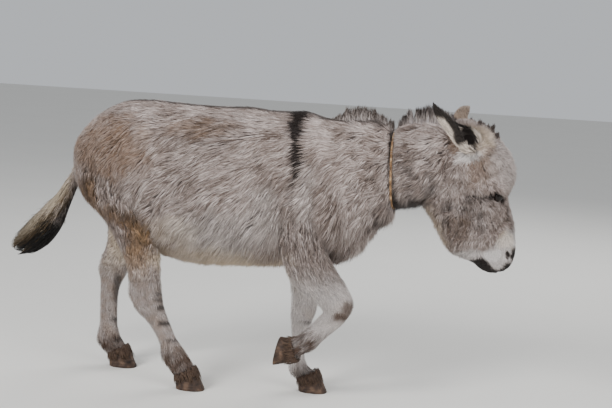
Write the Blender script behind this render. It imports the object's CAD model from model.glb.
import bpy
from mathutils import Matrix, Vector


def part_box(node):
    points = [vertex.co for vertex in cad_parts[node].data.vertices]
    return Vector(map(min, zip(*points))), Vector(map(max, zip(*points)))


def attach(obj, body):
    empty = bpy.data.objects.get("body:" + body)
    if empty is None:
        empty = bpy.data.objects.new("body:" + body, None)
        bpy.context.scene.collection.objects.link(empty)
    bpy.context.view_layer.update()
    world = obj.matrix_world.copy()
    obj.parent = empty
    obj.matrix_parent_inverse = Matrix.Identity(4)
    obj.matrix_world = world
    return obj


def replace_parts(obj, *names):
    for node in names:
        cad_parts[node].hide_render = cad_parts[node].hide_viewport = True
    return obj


bl_info = {
    "name": "Shaggy Grey Donkey",
    "version": (1, 0, 0),
    "blender": (4, 5, 0),
    "location": "View3D > Sidebar > Donkey",
    "description": "Builds the skin, coat, hair, eyes, hooves and neck rope of a life-size grey donkey",
    "category": "Add Mesh",
}

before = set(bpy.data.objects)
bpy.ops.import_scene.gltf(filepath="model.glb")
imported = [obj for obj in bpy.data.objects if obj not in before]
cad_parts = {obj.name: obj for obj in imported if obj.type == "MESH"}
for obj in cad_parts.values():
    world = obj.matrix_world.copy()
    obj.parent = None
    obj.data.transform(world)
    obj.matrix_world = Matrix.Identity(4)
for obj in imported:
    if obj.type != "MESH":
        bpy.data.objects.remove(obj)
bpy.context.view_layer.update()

import math

import bmesh
import bpy
import numpy as np
from mathutils import Matrix

MM = 0.001

# ---------------------------------------------------------------------------------------------
# Measures. Rows are in millimetres in the animal's own frame: +X forwards, +Y its left, +Z up.
# A row is one section, seen from the side: edge A x, edge A z, edge B x, edge B z, half width,
# how far towards A the widest point lies, and y of the middle. They give the coat's outline.
# A coat row is: section number, depth of the coat at edge A, at edge B and at the sides, and the
# length of its hair.
# ---------------------------------------------------------------------------------------------

SPINE = [
    (-892, 896, -886, 792, 52, 0.5, 0), (-872, 938, -870, 728, 108, 0.5, 0),
    (-834, 983, -840, 674, 150, 0.52, 0), (-776, 1030, -784, 622, 182, 0.55, 0),
    (-709, 1060, -718, 565, 198, 0.55, 0), (-653, 1069, -650, 528, 207, 0.52, 0),
    (-590, 1070, -585, 508, 213, 0.5, 0), (-506, 1066, -512, 489, 220, 0.47, 0),
    (-396, 1063, -400, 471, 225, 0.45, 0), (-300, 1064, -290, 474, 225, 0.45, 0),
    (-210, 1066, -200, 480, 218, 0.46, 0), (-129, 1060, -118, 485, 205, 0.48, 0),
    (-49, 1060, -40, 496, 192, 0.5, 0), (10, 1058, 30, 498, 182, 0.5, 0),
    (70, 1046, 105, 508, 170, 0.5, 0), (120, 1043, 185, 542, 150, 0.5, 0),
    (170, 1044, 232, 600, 132, 0.5, 0), (222, 1047, 275, 655, 120, 0.5, 0),
    (270, 1040, 308, 672, 112, 0.5, 0), (302, 1022, 322, 700, 104, 0.5, 0),
    (321, 1006, 330, 736, 96, 0.5, 0), (342, 1030, 350, 738, 103, 0.52, 0),
    (380, 1048, 385, 748, 110, 0.54, 0), (430, 1054, 425, 756, 112, 0.56, 0),
    (480, 1052, 462, 762, 110, 0.58, 0), (530, 1046, 500, 772, 104, 0.6, 0),
]
SPINE_COAT = [
    (0, 14, 16, 14, 26), (3, 12, 20, 16, 28), (6, 11, 26, 18, 36), (9, 10, 34, 20, 44),
    (13, 11, 34, 20, 46), (15, 12, 32, 20, 46), (17, 13, 30, 19, 44), (20, 12, 16, 13, 34),
    (22, 14, 18, 20, 44), (25, 14, 20, 20, 40),
]
ROPE_ROW = 20

HEAD_AT = np.array([555.0, 0.0, 1005.0])
HEAD_TILT = math.radians(18.07)
HEAD = [
    (40, 46, -30, 46, 38, 0.5, 0), (88, 18, -62, 30, 64, 0.52, 0), (120, -14, -95, 0, 84, 0.55, 0),
    (141, -57, -130, -50, 95, 0.6, 0), (160, -96, -160, -110, 99, 0.66, 0),
    (166, -136, -182, -165, 101, 0.7, 0), (158, -176, -183, -215, 102, 0.72, 0),
    (134, -210, -176, -250, 100, 0.72, 0), (117, -236, -170, -280, 95, 0.68, 0),
    (111, -266, -164, -315, 88, 0.6, 0), (114, -304, -156, -352, 79, 0.52, 0),
    (112, -345, -140, -390, 70, 0.47, 0), (108, -380, -112, -414, 63, 0.48, 0),
    (103, -412, -82, -434, 60, 0.5, 0), (96, -440, -62, -452, 58, 0.5, 0),
    (84, -466, -48, -472, 54, 0.5, 0), (66, -490, -28, -492, 45, 0.5, 0),
    (44, -503, 0, -503, 26, 0.5, 0),
]
HEAD_COAT = [
    (0, 16, 14, 14, 30), (3, 22, 14, 14, 34), (5, 24, 16, 14, 34), (7, 15, 18, 13, 28),
    (9, 6, 18, 12, 22), (11, 5, 16, 10, 18), (12, 4, 12, 7, 13), (13, 2.5, 5, 3, 8),
    (17, 1.5, 3, 2, 6),
]
EYE = np.array([86.0, 63.0, -234.0])  # of the left eye, in the head's own frame
EYE_RADIUS = 19.0
CORNEA_RISE, CORNEA_REACH = 1.6, 0.5  # height in mm and reach in radians
EYEBALL_GAP = 0.8
LID_RADIUS = EYE_RADIUS + 2.2
LID_HALF_LENGTH = 18.0
UPPER_LID, LOWER_LID = 6.5, 6.0  # how far the lids open above and below the line of their corners
EYE_GAZE = np.array([0.42, 0.9, 0.03])
EYE_SLANT = np.array([0.77, 0.0, -0.64])  # from the back corner of the lids to the front one
MOUTH_CORNER = np.array([-28.0, -425.0])
MOUTH_SLOPE = math.radians(30)
NOSTRIL = np.array([68.0, 49.0, -446.0])
NOSTRIL_LEAN = math.radians(12)
NOSTRIL_HALF_WIDTH, NOSTRIL_HALF_HEIGHT, NOSTRIL_DEPTH = 7.5, 17, 13
NOSTRIL_RIM = 3.2
LID_RIM = 1.6  # half width of the lids' rim
LID_CREASE = 7  # how far the upper lid's crease lies above its edge
SUNKEN = 5  # how far the skin drops behind the eyeball's surface

FORE_LEFT = [
    (95, 705, -75, 720, 62, 0.5, 108), (80, 640, -82, 640, 62, 0.5, 100),
    (64, 570, -88, 560, 56, 0.5, 88), (52, 500, -84, 482, 48, 0.5, 78),
    (50, 440, -68, 424, 40, 0.5, 68), (48, 396, -57, 382, 37, 0.5, 60),
    (52, 350, -52, 342, 38, 0.5, 54), (52, 308, -50, 298, 37, 0.5, 48),
    (40, 270, -47, 264, 31, 0.5, 44), (28, 222, -42, 220, 25, 0.5, 40),
    (20, 168, -39, 166, 24, 0.5, 37), (19, 128, -42, 122, 26, 0.5, 35),
    (34, 96, -43, 82, 32, 0.5, 33), (56, 80, -30, 60, 31, 0.5, 32), (74, 76, 0, 42, 33, 0.5, 31),
]
FORE_RIGHT = [
    (92, 705, -85, 700, 62, 0.5, -112), (98, 650, -75, 625, 63, 0.5, -118),
    (104, 600, -62, 560, 60, 0.5, -122), (122, 549, -45, 500, 55, 0.5, -122),
    (155, 499, -16, 444, 48, 0.5, -120), (186, 456, 24, 408, 42, 0.5, -119),
    (206, 422, 60, 384, 40, 0.5, -118), (217, 390, 88, 368, 40, 0.5, -117),
    (212, 352, 106, 350, 38, 0.5, -117), (196, 317, 104, 338, 33, 0.5, -117),
    (174, 290, 90, 322, 28, 0.5, -117), (145, 263, 66, 296, 26, 0.5, -118),
    (114, 232, 38, 268, 27, 0.5, -119), (88, 202, 16, 246, 32, 0.5, -120),
    (48, 180, -6, 240, 33, 0.5, -120), (18, 152, -4, 232, 33, 0.5, -120),
]
HIND_LEFT = [
    (-570, 800, -838, 840, 66, 0.5, 110), (-560, 730, -840, 755, 78, 0.5, 112),
    (-570, 650, -828, 670, 78, 0.5, 114), (-595, 575, -822, 598, 68, 0.5, 112),
    (-625, 508, -815, 535, 56, 0.5, 110), (-672, 448, -820, 482, 46, 0.5, 108),
    (-712, 402, -838, 430, 41, 0.5, 106), (-738, 358, -842, 386, 38, 0.5, 104),
    (-756, 322, -838, 326, 34, 0.5, 103), (-763, 282, -838, 275, 29, 0.5, 102),
    (-764, 225, -837, 222, 27, 0.5, 101), (-760, 165, -838, 158, 27, 0.5, 100),
    (-748, 120, -843, 104, 34, 0.5, 100), (-724, 84, -822, 66, 32, 0.5, 100),
    (-714, 76, -788, 42, 33, 0.5, 100),
]
HIND_RIGHT = [
    (-575, 800, -835, 840, 66, 0.5, -110), (-548, 730, -828, 762, 79, 0.5, -113),
    (-530, 660, -800, 705, 80, 0.5, -118), (-522, 602, -752, 645, 70, 0.5, -120),
    (-524, 540, -697, 556, 57, 0.5, -121), (-521, 474, -655, 466, 48, 0.5, -121),
    (-517, 417, -644, 405, 43, 0.5, -121), (-510, 364, -634, 346, 41, 0.5, -121),
    (-503, 316, -613, 290, 38, 0.5, -121), (-490, 280, -570, 250, 32, 0.5, -121),
    (-473, 243, -541, 215, 28, 0.5, -121), (-448, 192, -511, 164, 27, 0.5, -121),
    (-418, 152, -500, 112, 34, 0.5, -120), (-387, 112, -474, 74, 33, 0.5, -120),
    (-368, 76, -440, 42, 33, 0.5, -120),
]
FORE_COAT = [
    (0, 16, 16, 16, 40), (3, 8, 16, 11, 32), (5, 6, 12, 8, 20), (7, 4, 7, 5, 12), (11, 3, 6, 4, 12),
    (12, 4, 9, 6, 26), (15, 4, 5, 7, 30),
]
HIND_COAT = [
    (0, 15, 14, 14, 30), (3, 12, 12, 11, 28), (5, 9, 9, 8, 24), (8, 4, 5, 4, 14), (11, 3, 5, 4, 12),
    (12, 4, 9, 6, 26), (14, 4, 5, 7, 30),
]

TAIL = [
    (-868, 892, -905, 905, 20, 0.5, 0), (-884, 852, -915, 859, 19, 0.5, 0),
    (-883, 810, -919, 819, 19, 0.5, 2), (-889, 759, -935, 779, 22, 0.5, 4),
    (-909, 715, -963, 731, 25, 0.5, 6), (-930, 664, -990, 686, 28, 0.5, 8),
    (-946, 622, -1029, 648, 32, 0.5, 10), (-964, 572, -1065, 610, 36, 0.5, 13),
    (-985, 530, -1106, 572, 38, 0.5, 16), (-1016, 488, -1140, 534, 37, 0.5, 19),
    (-1056, 452, -1172, 496, 32, 0.5, 22), (-1104, 428, -1188, 466, 20, 0.5, 25),
    (-1140, 428, -1180, 446, 8, 0.5, 26),
]
TAIL_COAT = [(0, 6, 6, 6, 26), (3, 8, 10, 8, 34), (5, 12, 16, 12, 44), (12, 14, 20, 14, 60)]
DOCK_ROWS = 7

# Mane rows: the hair's tip line and its root line (x, z each), and the half width of the crest.
MANE_REAR = [
    (92, 1054, 92, 1030, 10), (125, 1082, 130, 1028, 13), (165, 1096, 172, 1028, 15),
    (200, 1102, 205, 1030, 16), (235, 1092, 238, 1028, 16), (272, 1076, 268, 1022, 15),
    (300, 1058, 292, 1010, 13), (314, 1036, 305, 998, 8),
]
MANE_FRONT = [
    (329, 1036, 338, 1000, 8), (338, 1068, 352, 1012, 13), (358, 1092, 375, 1025, 16),
    (392, 1108, 405, 1035, 17), (432, 1118, 440, 1036, 17), (470, 1114, 478, 1032, 16),
    (510, 1100, 515, 1030, 14), (540, 1078, 542, 1026, 10),
]
FORELOCK = [
    (50, 64, 44, 34, 12), (84, 52, 64, 18, 20), (110, 28, 88, 0, 23), (130, 0, 104, -24, 21),
    (141, -28, 118, -46, 13),
]

# Ears: root, tip, side, how much wider than usual the upper part is and how far that part is turned
# outwards, in degrees; then sections from root to tip: how far along, the radius of the curled
# wall, how far it curls round to each side and how far its mouth is turned outwards, in degrees.
EARS = {
    "right": ((620, -66, 976), (474, -160, 1130), -1, 1.0, 0.0),
    "left": ((620, 66, 976), (541, 188, 1098), 1, 1.8, 75.0),
}
EAR_SECTIONS = [
    (0, 24, 150, 60), (0.1, 35, 138, 60), (0.24, 38, 118, 38), (0.4, 36, 104, 6),
    (0.55, 34, 97, -18), (0.7, 31, 90, -26), (0.84, 25, 85, -26), (0.94, 17, 80, -26),
    (1, 7, 75, -26),
]
EAR_WALL = 5.0
EAR_COAT = 4.0
EAR_GRID = (44, 37)
EAR_STATIONS, EAR_DEPTHS, EAR_HAIR_LENGTHS = (0, 0.4, 1), (12, 7, 4), (34, 22, 12)  # of the coat

# Hooves: x and z of the heel on the sole, y, and the turn that lifts the heel, in degrees.
HOOVES = {
    "foreleg_left": (2, 0, 31, 0),
    "foreleg_right": (-46, 236, -120, 100.5),
    "hindleg_left": (-786, 0, 100, 0),
    "hindleg_right": (-438, 0, -120, 0),
}
HOOF_LENGTH = 112.0
HOOF_HALF_WIDTH = 41.0
CORONET_FRONT, CORONET_REAR = (74.0, 78.0), (-4.0, 42.0)  # x and z from the heel
CORONET_HALF_WIDTH = 34.0
HOOF_POWER = 2.4
GROWTH_RINGS, RING_HEIGHT = 8, 0.5
SOLE_HOLLOW, CLEFT_DEPTH = 6.5, 3
HOOF_ROWS = (12, 26, 5)  # rings of points on the sole, up the wall and over the top
ROPE_RADIUS = 4.5
ROPE_STRANDS = 3
KNOT_ANGLE = math.radians(315)  # round the neck, from its left side over its back
KNOT_SCALE, KNOT_RADIUS, KNOT_STEPS = 3.2, 3.0, 90

# Muscles and bones that show through: centre (right and left alike), reach and height, in mm.
BODY_FORMS = [
    ((-560, 165, 985), 70, 9),  # point of the hip
    ((-490, 205, 860), 90, -9),  # hollow of the flank
    ((-800, 95, 850), 60, 7),  # point of the buttock
    ((-600, 190, 660), 90, 7),  # stifle
    ((-690, 190, 800), 110, 6),  # thigh muscle
    ((20, 175, 900), 100, 5),  # shoulder blade
    ((150, 150, 700), 80, 8),  # point of the shoulder
    ((-60, 170, 640), 70, 6),  # elbow and its muscle
    ((70, 175, 790), 80, -6),  # hollow in front of the shoulder blade
    ((260, 100, 800), 90, -5),  # groove of the neck
    ((-300, 215, 720), 160, 5),  # ribs
    ((205, 120, 372), 34, 6),  # knee that is bent
    ((52, 31, 345), 30, 4),  # knee that bears weight
    ((-634, 125, 346), 26, 9),  # point of the near hock
    ((-842, 105, 386), 26, 9),  # point of the far hock
    ((-505, 120, 118), 26, 6),  # near hind fetlock
    ((-843, 100, 108), 26, 6),  # far hind fetlock
    ((-44, 31, 116), 24, 5),  # fore fetlock
]
HEAD_FORMS = [
    ((76, 74, -205), 22, 7),  # brow
    ((90, 84, -238), 20, -4),  # hollow that the eye lies in
    ((36, 92, -200), 28, 8),  # brow's rear end
    ((0, 88, -130), 52, 7),  # temple
    ((22, 94, -266), 26, 3),  # cheekbone
    ((-84, 82, -290), 62, 6),  # cheek muscle
    ((48, 62, -330), 34, -4),  # hollow before the cheek
    ((92, 36, -350), 26, 3),  # nasal bone
    ((62, 50, -470), 20, 4),  # upper lip
    ((-40, 40, -462), 20, 4),  # lower lip
]
# Folds of the head: two ends (right and left alike), reach and depth, in mm.
HEAD_FOLDS = [
    ((70, 92, -224), (-34, 100, -182), 10, -13),  # below the brow and temple
    ((92, 80, -254), (66, 76, -304), 10, -3),  # tear groove
    ((-30, 70, -404), (-28, 62, -432), 6, -3),  # corner of the mouth
]


# ==================== Shapes ====================


def unit(v):
    """Vectors over their own lengths."""
    return v / np.maximum(np.linalg.norm(v, axis=-1, keepdims=True), 1e-9)


def smooth(low, high, x):
    """0 below low, 1 above high (or the other way round), with a cubic between them."""
    t = np.clip((x - low) / (high - low), 0.0, 1.0)
    return t * t * (3 - 2 * t)


def spline(rows, at):
    """Catmull-Rom: each column at row numbers `at` is a cubic between two rows, whose slope at a
    row is half the step between that row's neighbours."""
    rows = np.asarray(rows, float)
    at = np.asarray(at, float)
    i = np.clip(at.astype(int), 0, len(rows) - 2)
    f = (at - i)[..., None]
    padded = np.vstack([rows[:1], rows, rows[-1:]])
    before, a, b, after = (padded[i + k] for k in range(4))
    slope_a, slope_b, rise = (b - before) / 2, (after - a) / 2, b - a
    square, cube = 3 * rise - 2 * slope_a - slope_b, slope_a + slope_b - 2 * rise
    return a + f * (slope_a + f * (square + f * cube))


def waves(points, length, seed):
    """A smooth random field in -1..1: the mean of eight sine waves of about that wavelength, each
    in a random direction."""
    rng = np.random.default_rng(seed)
    ways = unit(rng.normal(size=(8, 3))) / (length * rng.uniform(0.7, 1.5, (8, 1)))
    phases = rng.uniform(0, 2 * math.pi, 8)
    return np.clip(np.sin(2 * math.pi * points @ ways.T + phases).sum(-1) / 3.2, -1, 1)


def from_head(points):
    """The head's own frame to the animal's: a turn about Y, then a shift."""
    c, s = math.cos(HEAD_TILT), math.sin(HEAD_TILT)
    x, y, z = np.moveaxis(np.asarray(points, float), -1, 0)
    return np.stack([x * c - z * s, y, x * s + z * c], -1) + HEAD_AT


def to_head(points):
    """The animal's frame to the head's own: the same shift and turn undone."""
    c, s = math.cos(HEAD_TILT), math.sin(HEAD_TILT)
    x, y, z = np.moveaxis(np.asarray(points, float) - HEAD_AT, -1, 0)
    return np.stack([x * c + z * s, y, z * c - x * s], -1)


def mirrored(point, side):
    """A point of the left side (side 1), or its mirror image on the right (side -1)."""
    return np.array([point[0], point[1] * side, point[2]], float)


def folded(points):
    """Points of both sides, all put on the left one."""
    return np.stack([points[:, 0], np.abs(points[:, 1]), points[:, 2]], 1)


def joined(groups):
    """Joins a list of rows of arrays column by column."""
    return [np.concatenate(column) for column in zip(*groups)]


def body_shift():
    """From the animal's frame in metres to the row's: where the right eye is in one and the other."""
    low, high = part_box("eye_right")
    return np.array((low + high) / 2) - from_head(mirrored(EYE, -1)) * MM


SHIFT = body_shift()


def section(rows, at, angle, coat=None, power=2.3):
    """Points of a limb at row numbers `at` and angles round it: a superellipse
    |a|^p + |b|^p = 1 through edges A and B, drawn in by the coat's depth.
    Gives points, the coat's depth and the hair's length."""
    r = spline(rows, at)
    a, b = r[..., 0:2], r[..., 2:4]
    half, widest, y = r[..., 4], r[..., 5], r[..., 6]
    deep = np.linalg.norm(a - b, axis=-1)
    way = (a - b) / deep[..., None]
    c, s = np.cos(angle), np.sin(angle)
    bulge_c, bulge_s = (np.sign(v) * np.abs(v) ** (2 / power) for v in (c, s))
    depth = np.zeros(np.broadcast(at, angle).shape)
    hair = depth.copy()
    side_depth, edge_depth = depth, depth
    if coat is not None:
        table = np.array(coat, float)
        front, back, side_depth, hair = (np.interp(at, table[:, 0], value) for value in table[:, 1:].T)
        edge_depth = np.where(s > 0, front, back)
        depth = side_depth * c * c + edge_depth * s * s
    reach = np.where(s > 0, 1 - widest, widest) * deep - edge_depth
    middle = b + (a - b) * widest[..., None]
    points = np.stack(
        [
            middle[..., 0] + way[..., 0] * reach * bulge_s,
            y + (half - side_depth) * bulge_c,
            middle[..., 1] + way[..., 1] * reach * bulge_s,
        ],
        -1,
    )
    return points, depth, hair + 0 * s


def limb(rows, coat, last=None, steps=5, sides=48, power=2.3):
    """A limb's skin as a grid of rings, each with its lie, the way from row to row."""
    last = len(rows) - 1 if last is None else last
    at = np.linspace(0, last, steps * last + 1)[:, None]
    angle = np.linspace(0, 2 * math.pi, sides, endpoint=False)[None, :]
    points, depth, hair = section(rows, at + 0 * angle, angle + 0 * at, coat, power)
    lie = unit(np.gradient(points.mean(1), axis=0))[:, None, :] + 0 * points
    return dict(points=points, depth=depth, hair=hair, lie=lie, row=at + 0 * angle)


def tube_faces(rings, sides, first=0):
    """Quads between neighbouring rings, and a fan over each end to two added middle points."""
    i, j = np.meshgrid(np.arange(rings - 1), np.arange(sides), indexing="ij")
    k = (j + 1) % sides
    quads = np.stack([i * sides + j, i * sides + k, (i + 1) * sides + k, (i + 1) * sides + j], -1)
    j = np.arange(sides)
    k = (j + 1) % sides
    low, high, end = rings * sides, rings * sides + 1, (rings - 1) * sides
    low_fan = np.stack([j * 0 + low, k, j], -1)
    high_fan = np.stack([j * 0 + high, end + j, end + k], -1)
    fans = np.concatenate([low_fan, high_fan])
    return (quads.reshape(-1, 4) + first).tolist() + (fans + first).tolist()


def closed_tube(points, first=0):
    """Vertices and faces of a tube over (rings, sides) points, closed at both ends."""
    rings, sides = points.shape[:2]
    verts = np.concatenate([points.reshape(-1, 3), points[:1].mean(1), points[-1:].mean(1)])
    return verts, tube_faces(rings, sides, first)


def new_mesh(name, verts, faces):
    """A mesh from points in the animal's frame, in millimetres, put in the row's frame."""
    mesh = bpy.data.meshes.new(name)
    mesh.from_pydata((np.asarray(verts) * MM + SHIFT).tolist(), [], faces)
    mesh.update()
    return mesh


def shown(name, data):
    """A new object of the scene: a mesh, a light or the camera."""
    made = bpy.data.objects.new(name, data)
    bpy.context.scene.collection.objects.link(made)
    return made


def new_piece(name, mesh, material):
    """A smoothly shaded object that rides on the one body."""
    piece = shown(name, mesh)
    mesh.materials.append(material)
    mesh.polygons.foreach_set("use_smooth", np.ones(len(mesh.polygons), bool))
    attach(piece, "root")
    return piece


def set_values(mesh, name, values):
    """A number for each vertex, which a material reads by name."""
    layer = mesh.attributes.new(name, "FLOAT", "POINT")
    layer.data.foreach_set("value", np.asarray(values, np.float32))


def read(source, key, width, kind=np.float32):
    """One property of all of a mesh's vertices, edges, triangles or values, as an array."""
    found = np.empty(len(source) * width, kind)
    source.foreach_get(key, found)
    return found.reshape(-1, width) if width > 1 else found


def turned_outwards(mesh):
    """Turns the faces of a mesh's closed shells outwards."""
    work = bmesh.new()
    work.from_mesh(mesh)
    bmesh.ops.recalc_face_normals(work, faces=work.faces)
    work.to_mesh(mesh)
    work.free()


# ==================== Skin ====================

SKIN_VOXEL = 0.0095  # in metres
STEP_IN, STEP_OUT = 0.5, 0.53
PARTS = ("trunk", "head", "fore_left", "fore_right", "hind_left", "hind_right", "tail", "ear")


def body_limbs():
    """The overlapping limbs that the skin is fused from."""
    return {
        "trunk": limb(SPINE, SPINE_COAT, sides=72),
        "head": head_limb(),
        "fore_left": limb(FORE_LEFT, FORE_COAT),
        "fore_right": limb(FORE_RIGHT, FORE_COAT),
        "hind_left": limb(HIND_LEFT, HIND_COAT),
        "hind_right": limb(HIND_RIGHT, HIND_COAT),
        "tail": limb(TAIL, TAIL_COAT, last=DOCK_ROWS, sides=24),
    }


def head_limb():
    """The head's rings, worked out in its own frame and moved to the neck."""
    made = limb(HEAD, HEAD_COAT, sides=72, power=2.5)
    made["points"] = from_head(made["points"])
    made["lie"] = from_head(made["lie"]) - HEAD_AT
    return made


def fused(limbs):
    """One closed surface over the overlapping limbs: they are voxel remeshed together."""
    verts, faces = [], []
    for part in limbs.values():
        v, f = closed_tube(part["points"], sum(map(len, verts)))
        verts.append(v)
        faces += f
    mesh = new_mesh("fused", np.concatenate(verts), faces)
    turned_outwards(mesh)
    holder = shown("fused", mesh)
    remesh = holder.modifiers.new("fuse", "REMESH")
    remesh.mode = "VOXEL"
    remesh.voxel_size = SKIN_VOXEL
    graph = bpy.context.evaluated_depsgraph_get()
    made = bpy.data.meshes.new_from_object(holder.evaluated_get(graph))
    bpy.data.objects.remove(holder)
    return made


def refined(mesh):
    """Splits the skin's edges in half over the head, again round eyes and muzzle, and once more
    at the lids and nostrils."""
    work = bmesh.new()
    work.from_mesh(mesh)
    for level in range(3):
        points = to_head((np.array([v.co for v in work.verts]) - SHIFT) / MM)
        fine = head_detail(points) > level
        split = [e for e in work.edges if fine[e.verts[0].index] and fine[e.verts[1].index]]
        bmesh.ops.subdivide_edges(work, edges=split, cuts=1, use_grid_fill=True, smooth=0.0)
        work.verts.index_update()
    bmesh.ops.triangulate(work, faces=[f for f in work.faces if len(f.verts) > 4])
    work.to_mesh(mesh)
    work.free()


def head_detail(points):
    """How many times the skin is split at points of the head's frame."""
    left = folded(points)
    x, y, z = left.T
    on_head = (x > -190) & (x < 190) & (z < 30) & (z > -520) & (y < 125)
    eye = np.linalg.norm(left - EYE, axis=1)
    nostril = np.linalg.norm(left - NOSTRIL, axis=1)
    return on_head * (1 + ((eye < 52) | (z < -405)) + ((eye < 33) | (nostril < 26)))


class Surface:
    """The skin as arrays: points in the animal's frame in mm, triangles, edges and normals."""

    def __init__(self, mesh):
        self.mesh = mesh
        self.points = (read(mesh.vertices, "co", 3, float) - SHIFT) / MM
        self.edges = read(mesh.edges, "vertices", 2, np.int64)
        self.degree = np.maximum(np.bincount(self.edges.ravel(), minlength=len(self.points)), 1)

    def normals(self):
        """The vertices' normals where the points are now."""
        self.mesh.vertices.foreach_set("co", (self.points * MM + SHIFT).ravel())
        self.mesh.update()
        return read(self.mesh.vertex_normals, "vector", 3, float)

    def around(self, values):
        """Each vertex's mean of its neighbours' values."""
        (a, b), count = self.edges.T, len(self.points)
        columns = values.reshape(len(values), -1).T
        total = [np.bincount(a, v[b], count) + np.bincount(b, v[a], count) for v in columns]
        return (np.stack(total, -1) / self.degree[:, None]).reshape(values.shape)

    def relaxed(self, values, rounds):
        """Moves each vertex's value halfway to its neighbours' mean, `rounds` times."""
        for _ in range(rounds):
            values = values + (self.around(values) - values) * 0.5
        return values

    def rounded(self, rounds):
        """Taubin smoothing of the points: one step in and a slightly larger one out, so that
        nothing shrinks."""
        p = self.points
        for _ in range(rounds):
            p = p + (self.around(p) - p) * STEP_IN
            p = p - (self.around(p) - p) * STEP_OUT
        self.points = p


def push_forms(points, normals, forms, folds=()):
    """Raises each form as a Gaussian of the distance to its middle, and sinks each fold as one
    of the distance to its line, on both sides of the body."""
    left = folded(points)
    lift = np.zeros(len(points))
    for middle, reach, height in forms:
        lift += height * np.exp(-(((left - middle) ** 2).sum(1)) / reach**2)
    for start, end, reach, depth in folds:
        start, way = np.array(start, float), np.subtract(end, start).astype(float)
        t = np.clip((left - start) @ way / (way @ way), 0, 1)
        lift += depth * np.exp(-(((left - start - t[:, None] * way) ** 2).sum(1)) / reach**2)
    return points + normals * lift[:, None]


def eye_axes(side):
    """The gaze of an eye, the line between the corners of its lids, and the way to its brow."""
    gaze = unit(mirrored(EYE_GAZE, side))
    along = mirrored(EYE_SLANT, side)
    along = unit(along - gaze * (along @ gaze))
    up = np.cross(gaze, along)
    return gaze, along, up * np.sign(up[2])


def set_lids(points):
    """Lids in the head's frame: near the eye the skin follows a sphere a little larger than the
    eyeball, and inside an almond between two parabolas it drops behind the eyeball."""
    for side in (1, -1):
        gaze, along, up = eye_axes(side)
        d = points - mirrored(EYE, side)
        far = np.linalg.norm(d, axis=1)
        a, b, c = d @ along, d @ up, d @ gaze
        near = smooth(40, 25, far) * smooth(-4, 6, c)
        open_to = (1 - (a / LID_HALF_LENGTH) ** 2) * np.where(b > 0, UPPER_LID, LOWER_LID)
        parted = smooth(-0.9, 0.7, open_to - np.abs(b)) * (np.abs(a) < LID_HALF_LENGTH) * (c > 0)
        rim = np.exp(-(((np.abs(b) - open_to - LID_RIM) / LID_RIM) ** 2))
        rim = rim * (np.abs(a) < LID_HALF_LENGTH + 4)
        crease = np.exp(-(((b - open_to - LID_CREASE) / 2.0) ** 2))
        crease = crease * smooth(22, 12, np.abs(a)) * (b > 0)
        target = LID_RADIUS + 1.2 * rim - 1.6 * crease
        target = target + (EYE_RADIUS - SUNKEN - target) * parted
        scale = 1 + near * (target / np.maximum(far, 1) - 1)
        points = mirrored(EYE, side) + d * scale[:, None]
    return points


def set_nostrils(points, normals):
    """Each nostril is a slanting oval sunk to a rounded floor, with a raised rim round it."""
    c, s = math.cos(NOSTRIL_LEAN), math.sin(NOSTRIL_LEAN)
    for side in (1, -1):
        d = points - mirrored(NOSTRIL, side)
        across = (d[:, 0] * c + d[:, 2] * s) / NOSTRIL_HALF_WIDTH
        tall = (d[:, 2] * c - d[:, 0] * s) / NOSTRIL_HALF_HEIGHT
        r = np.sqrt(across**2 + tall**2)
        here = np.abs(d[:, 1]) < 30
        sunk = NOSTRIL_DEPTH * np.sqrt(np.clip(1 - r**2, 0, 1)) * here
        rim = NOSTRIL_RIM * np.exp(-(((r - 1.25) / 0.3) ** 2)) * here
        points = points + normals * (rim - sunk)[:, None]
    return points


def mouth_offset(points):
    """Distance in front of the mouth line, seen from the side, in the head's frame."""
    x, z = points[:, 0] - MOUTH_CORNER[0], points[:, 2] - MOUTH_CORNER[1]
    return x * math.cos(MOUTH_SLOPE) + z * math.sin(MOUTH_SLOPE)


def set_mouth(points, normals):
    """A groove where the muzzle meets the lower lip, deepest away from the corner."""
    groove = np.exp(-((mouth_offset(points) / 3.0) ** 2)) * smooth(-418, -440, points[:, 2])
    return points - normals * (3.2 * groove)[:, None]


def nearest(points, samples):
    """Index of the nearest sample to each point, by |p|^2 - 2 p.s + |s|^2 in blocks."""
    samples = samples.astype(np.float32)
    squares = (samples**2).sum(1)
    found = [
        np.argmin(squares - 2 * block.astype(np.float32) @ samples.T, axis=1)
        for block in np.array_split(points, len(points) // 3000 + 1)
    ]
    return np.concatenate(found)


def ear_wall(name, u, v, inwards):
    """Points of an ear's wall: u runs from root to tip, and v from one rim (-1) round the back to
    the other (1). Each section is an arc about the axis, drawn in by `inwards` mm, whose mouth
    looks forwards and up and then turns outwards."""
    root, tip, side, blunt, twist = EARS[name]
    root, tip = np.array(root, float), np.array(tip, float)
    axis = unit(tip - root)
    front = unit(np.array([axis[2], 0.0, -axis[0]]))
    outwards = np.cross(front, axis)
    outwards = outwards * np.sign(outwards[1] * side)
    rows = np.array(EAR_SECTIONS, float)
    radius, curl, turn = (np.interp(u, rows[:, 0], rows[:, k])[..., None] for k in (1, 2, 3))
    upper = smooth(0.4, 0.85, u[..., None])
    radius, turn = radius * (1 + (blunt - 1) * upper), turn + twist * upper
    turn, angle = np.radians(turn), np.radians(v[..., None] * curl)
    mouth = front * np.cos(turn) + outwards * np.sin(turn)
    wide = np.cross(axis, mouth)
    r = np.maximum(radius - np.asarray(inwards)[..., None], 1.5)
    return root + (tip - root) * u[..., None] + wide * r * np.sin(angle) - mouth * r * np.cos(angle)


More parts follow.
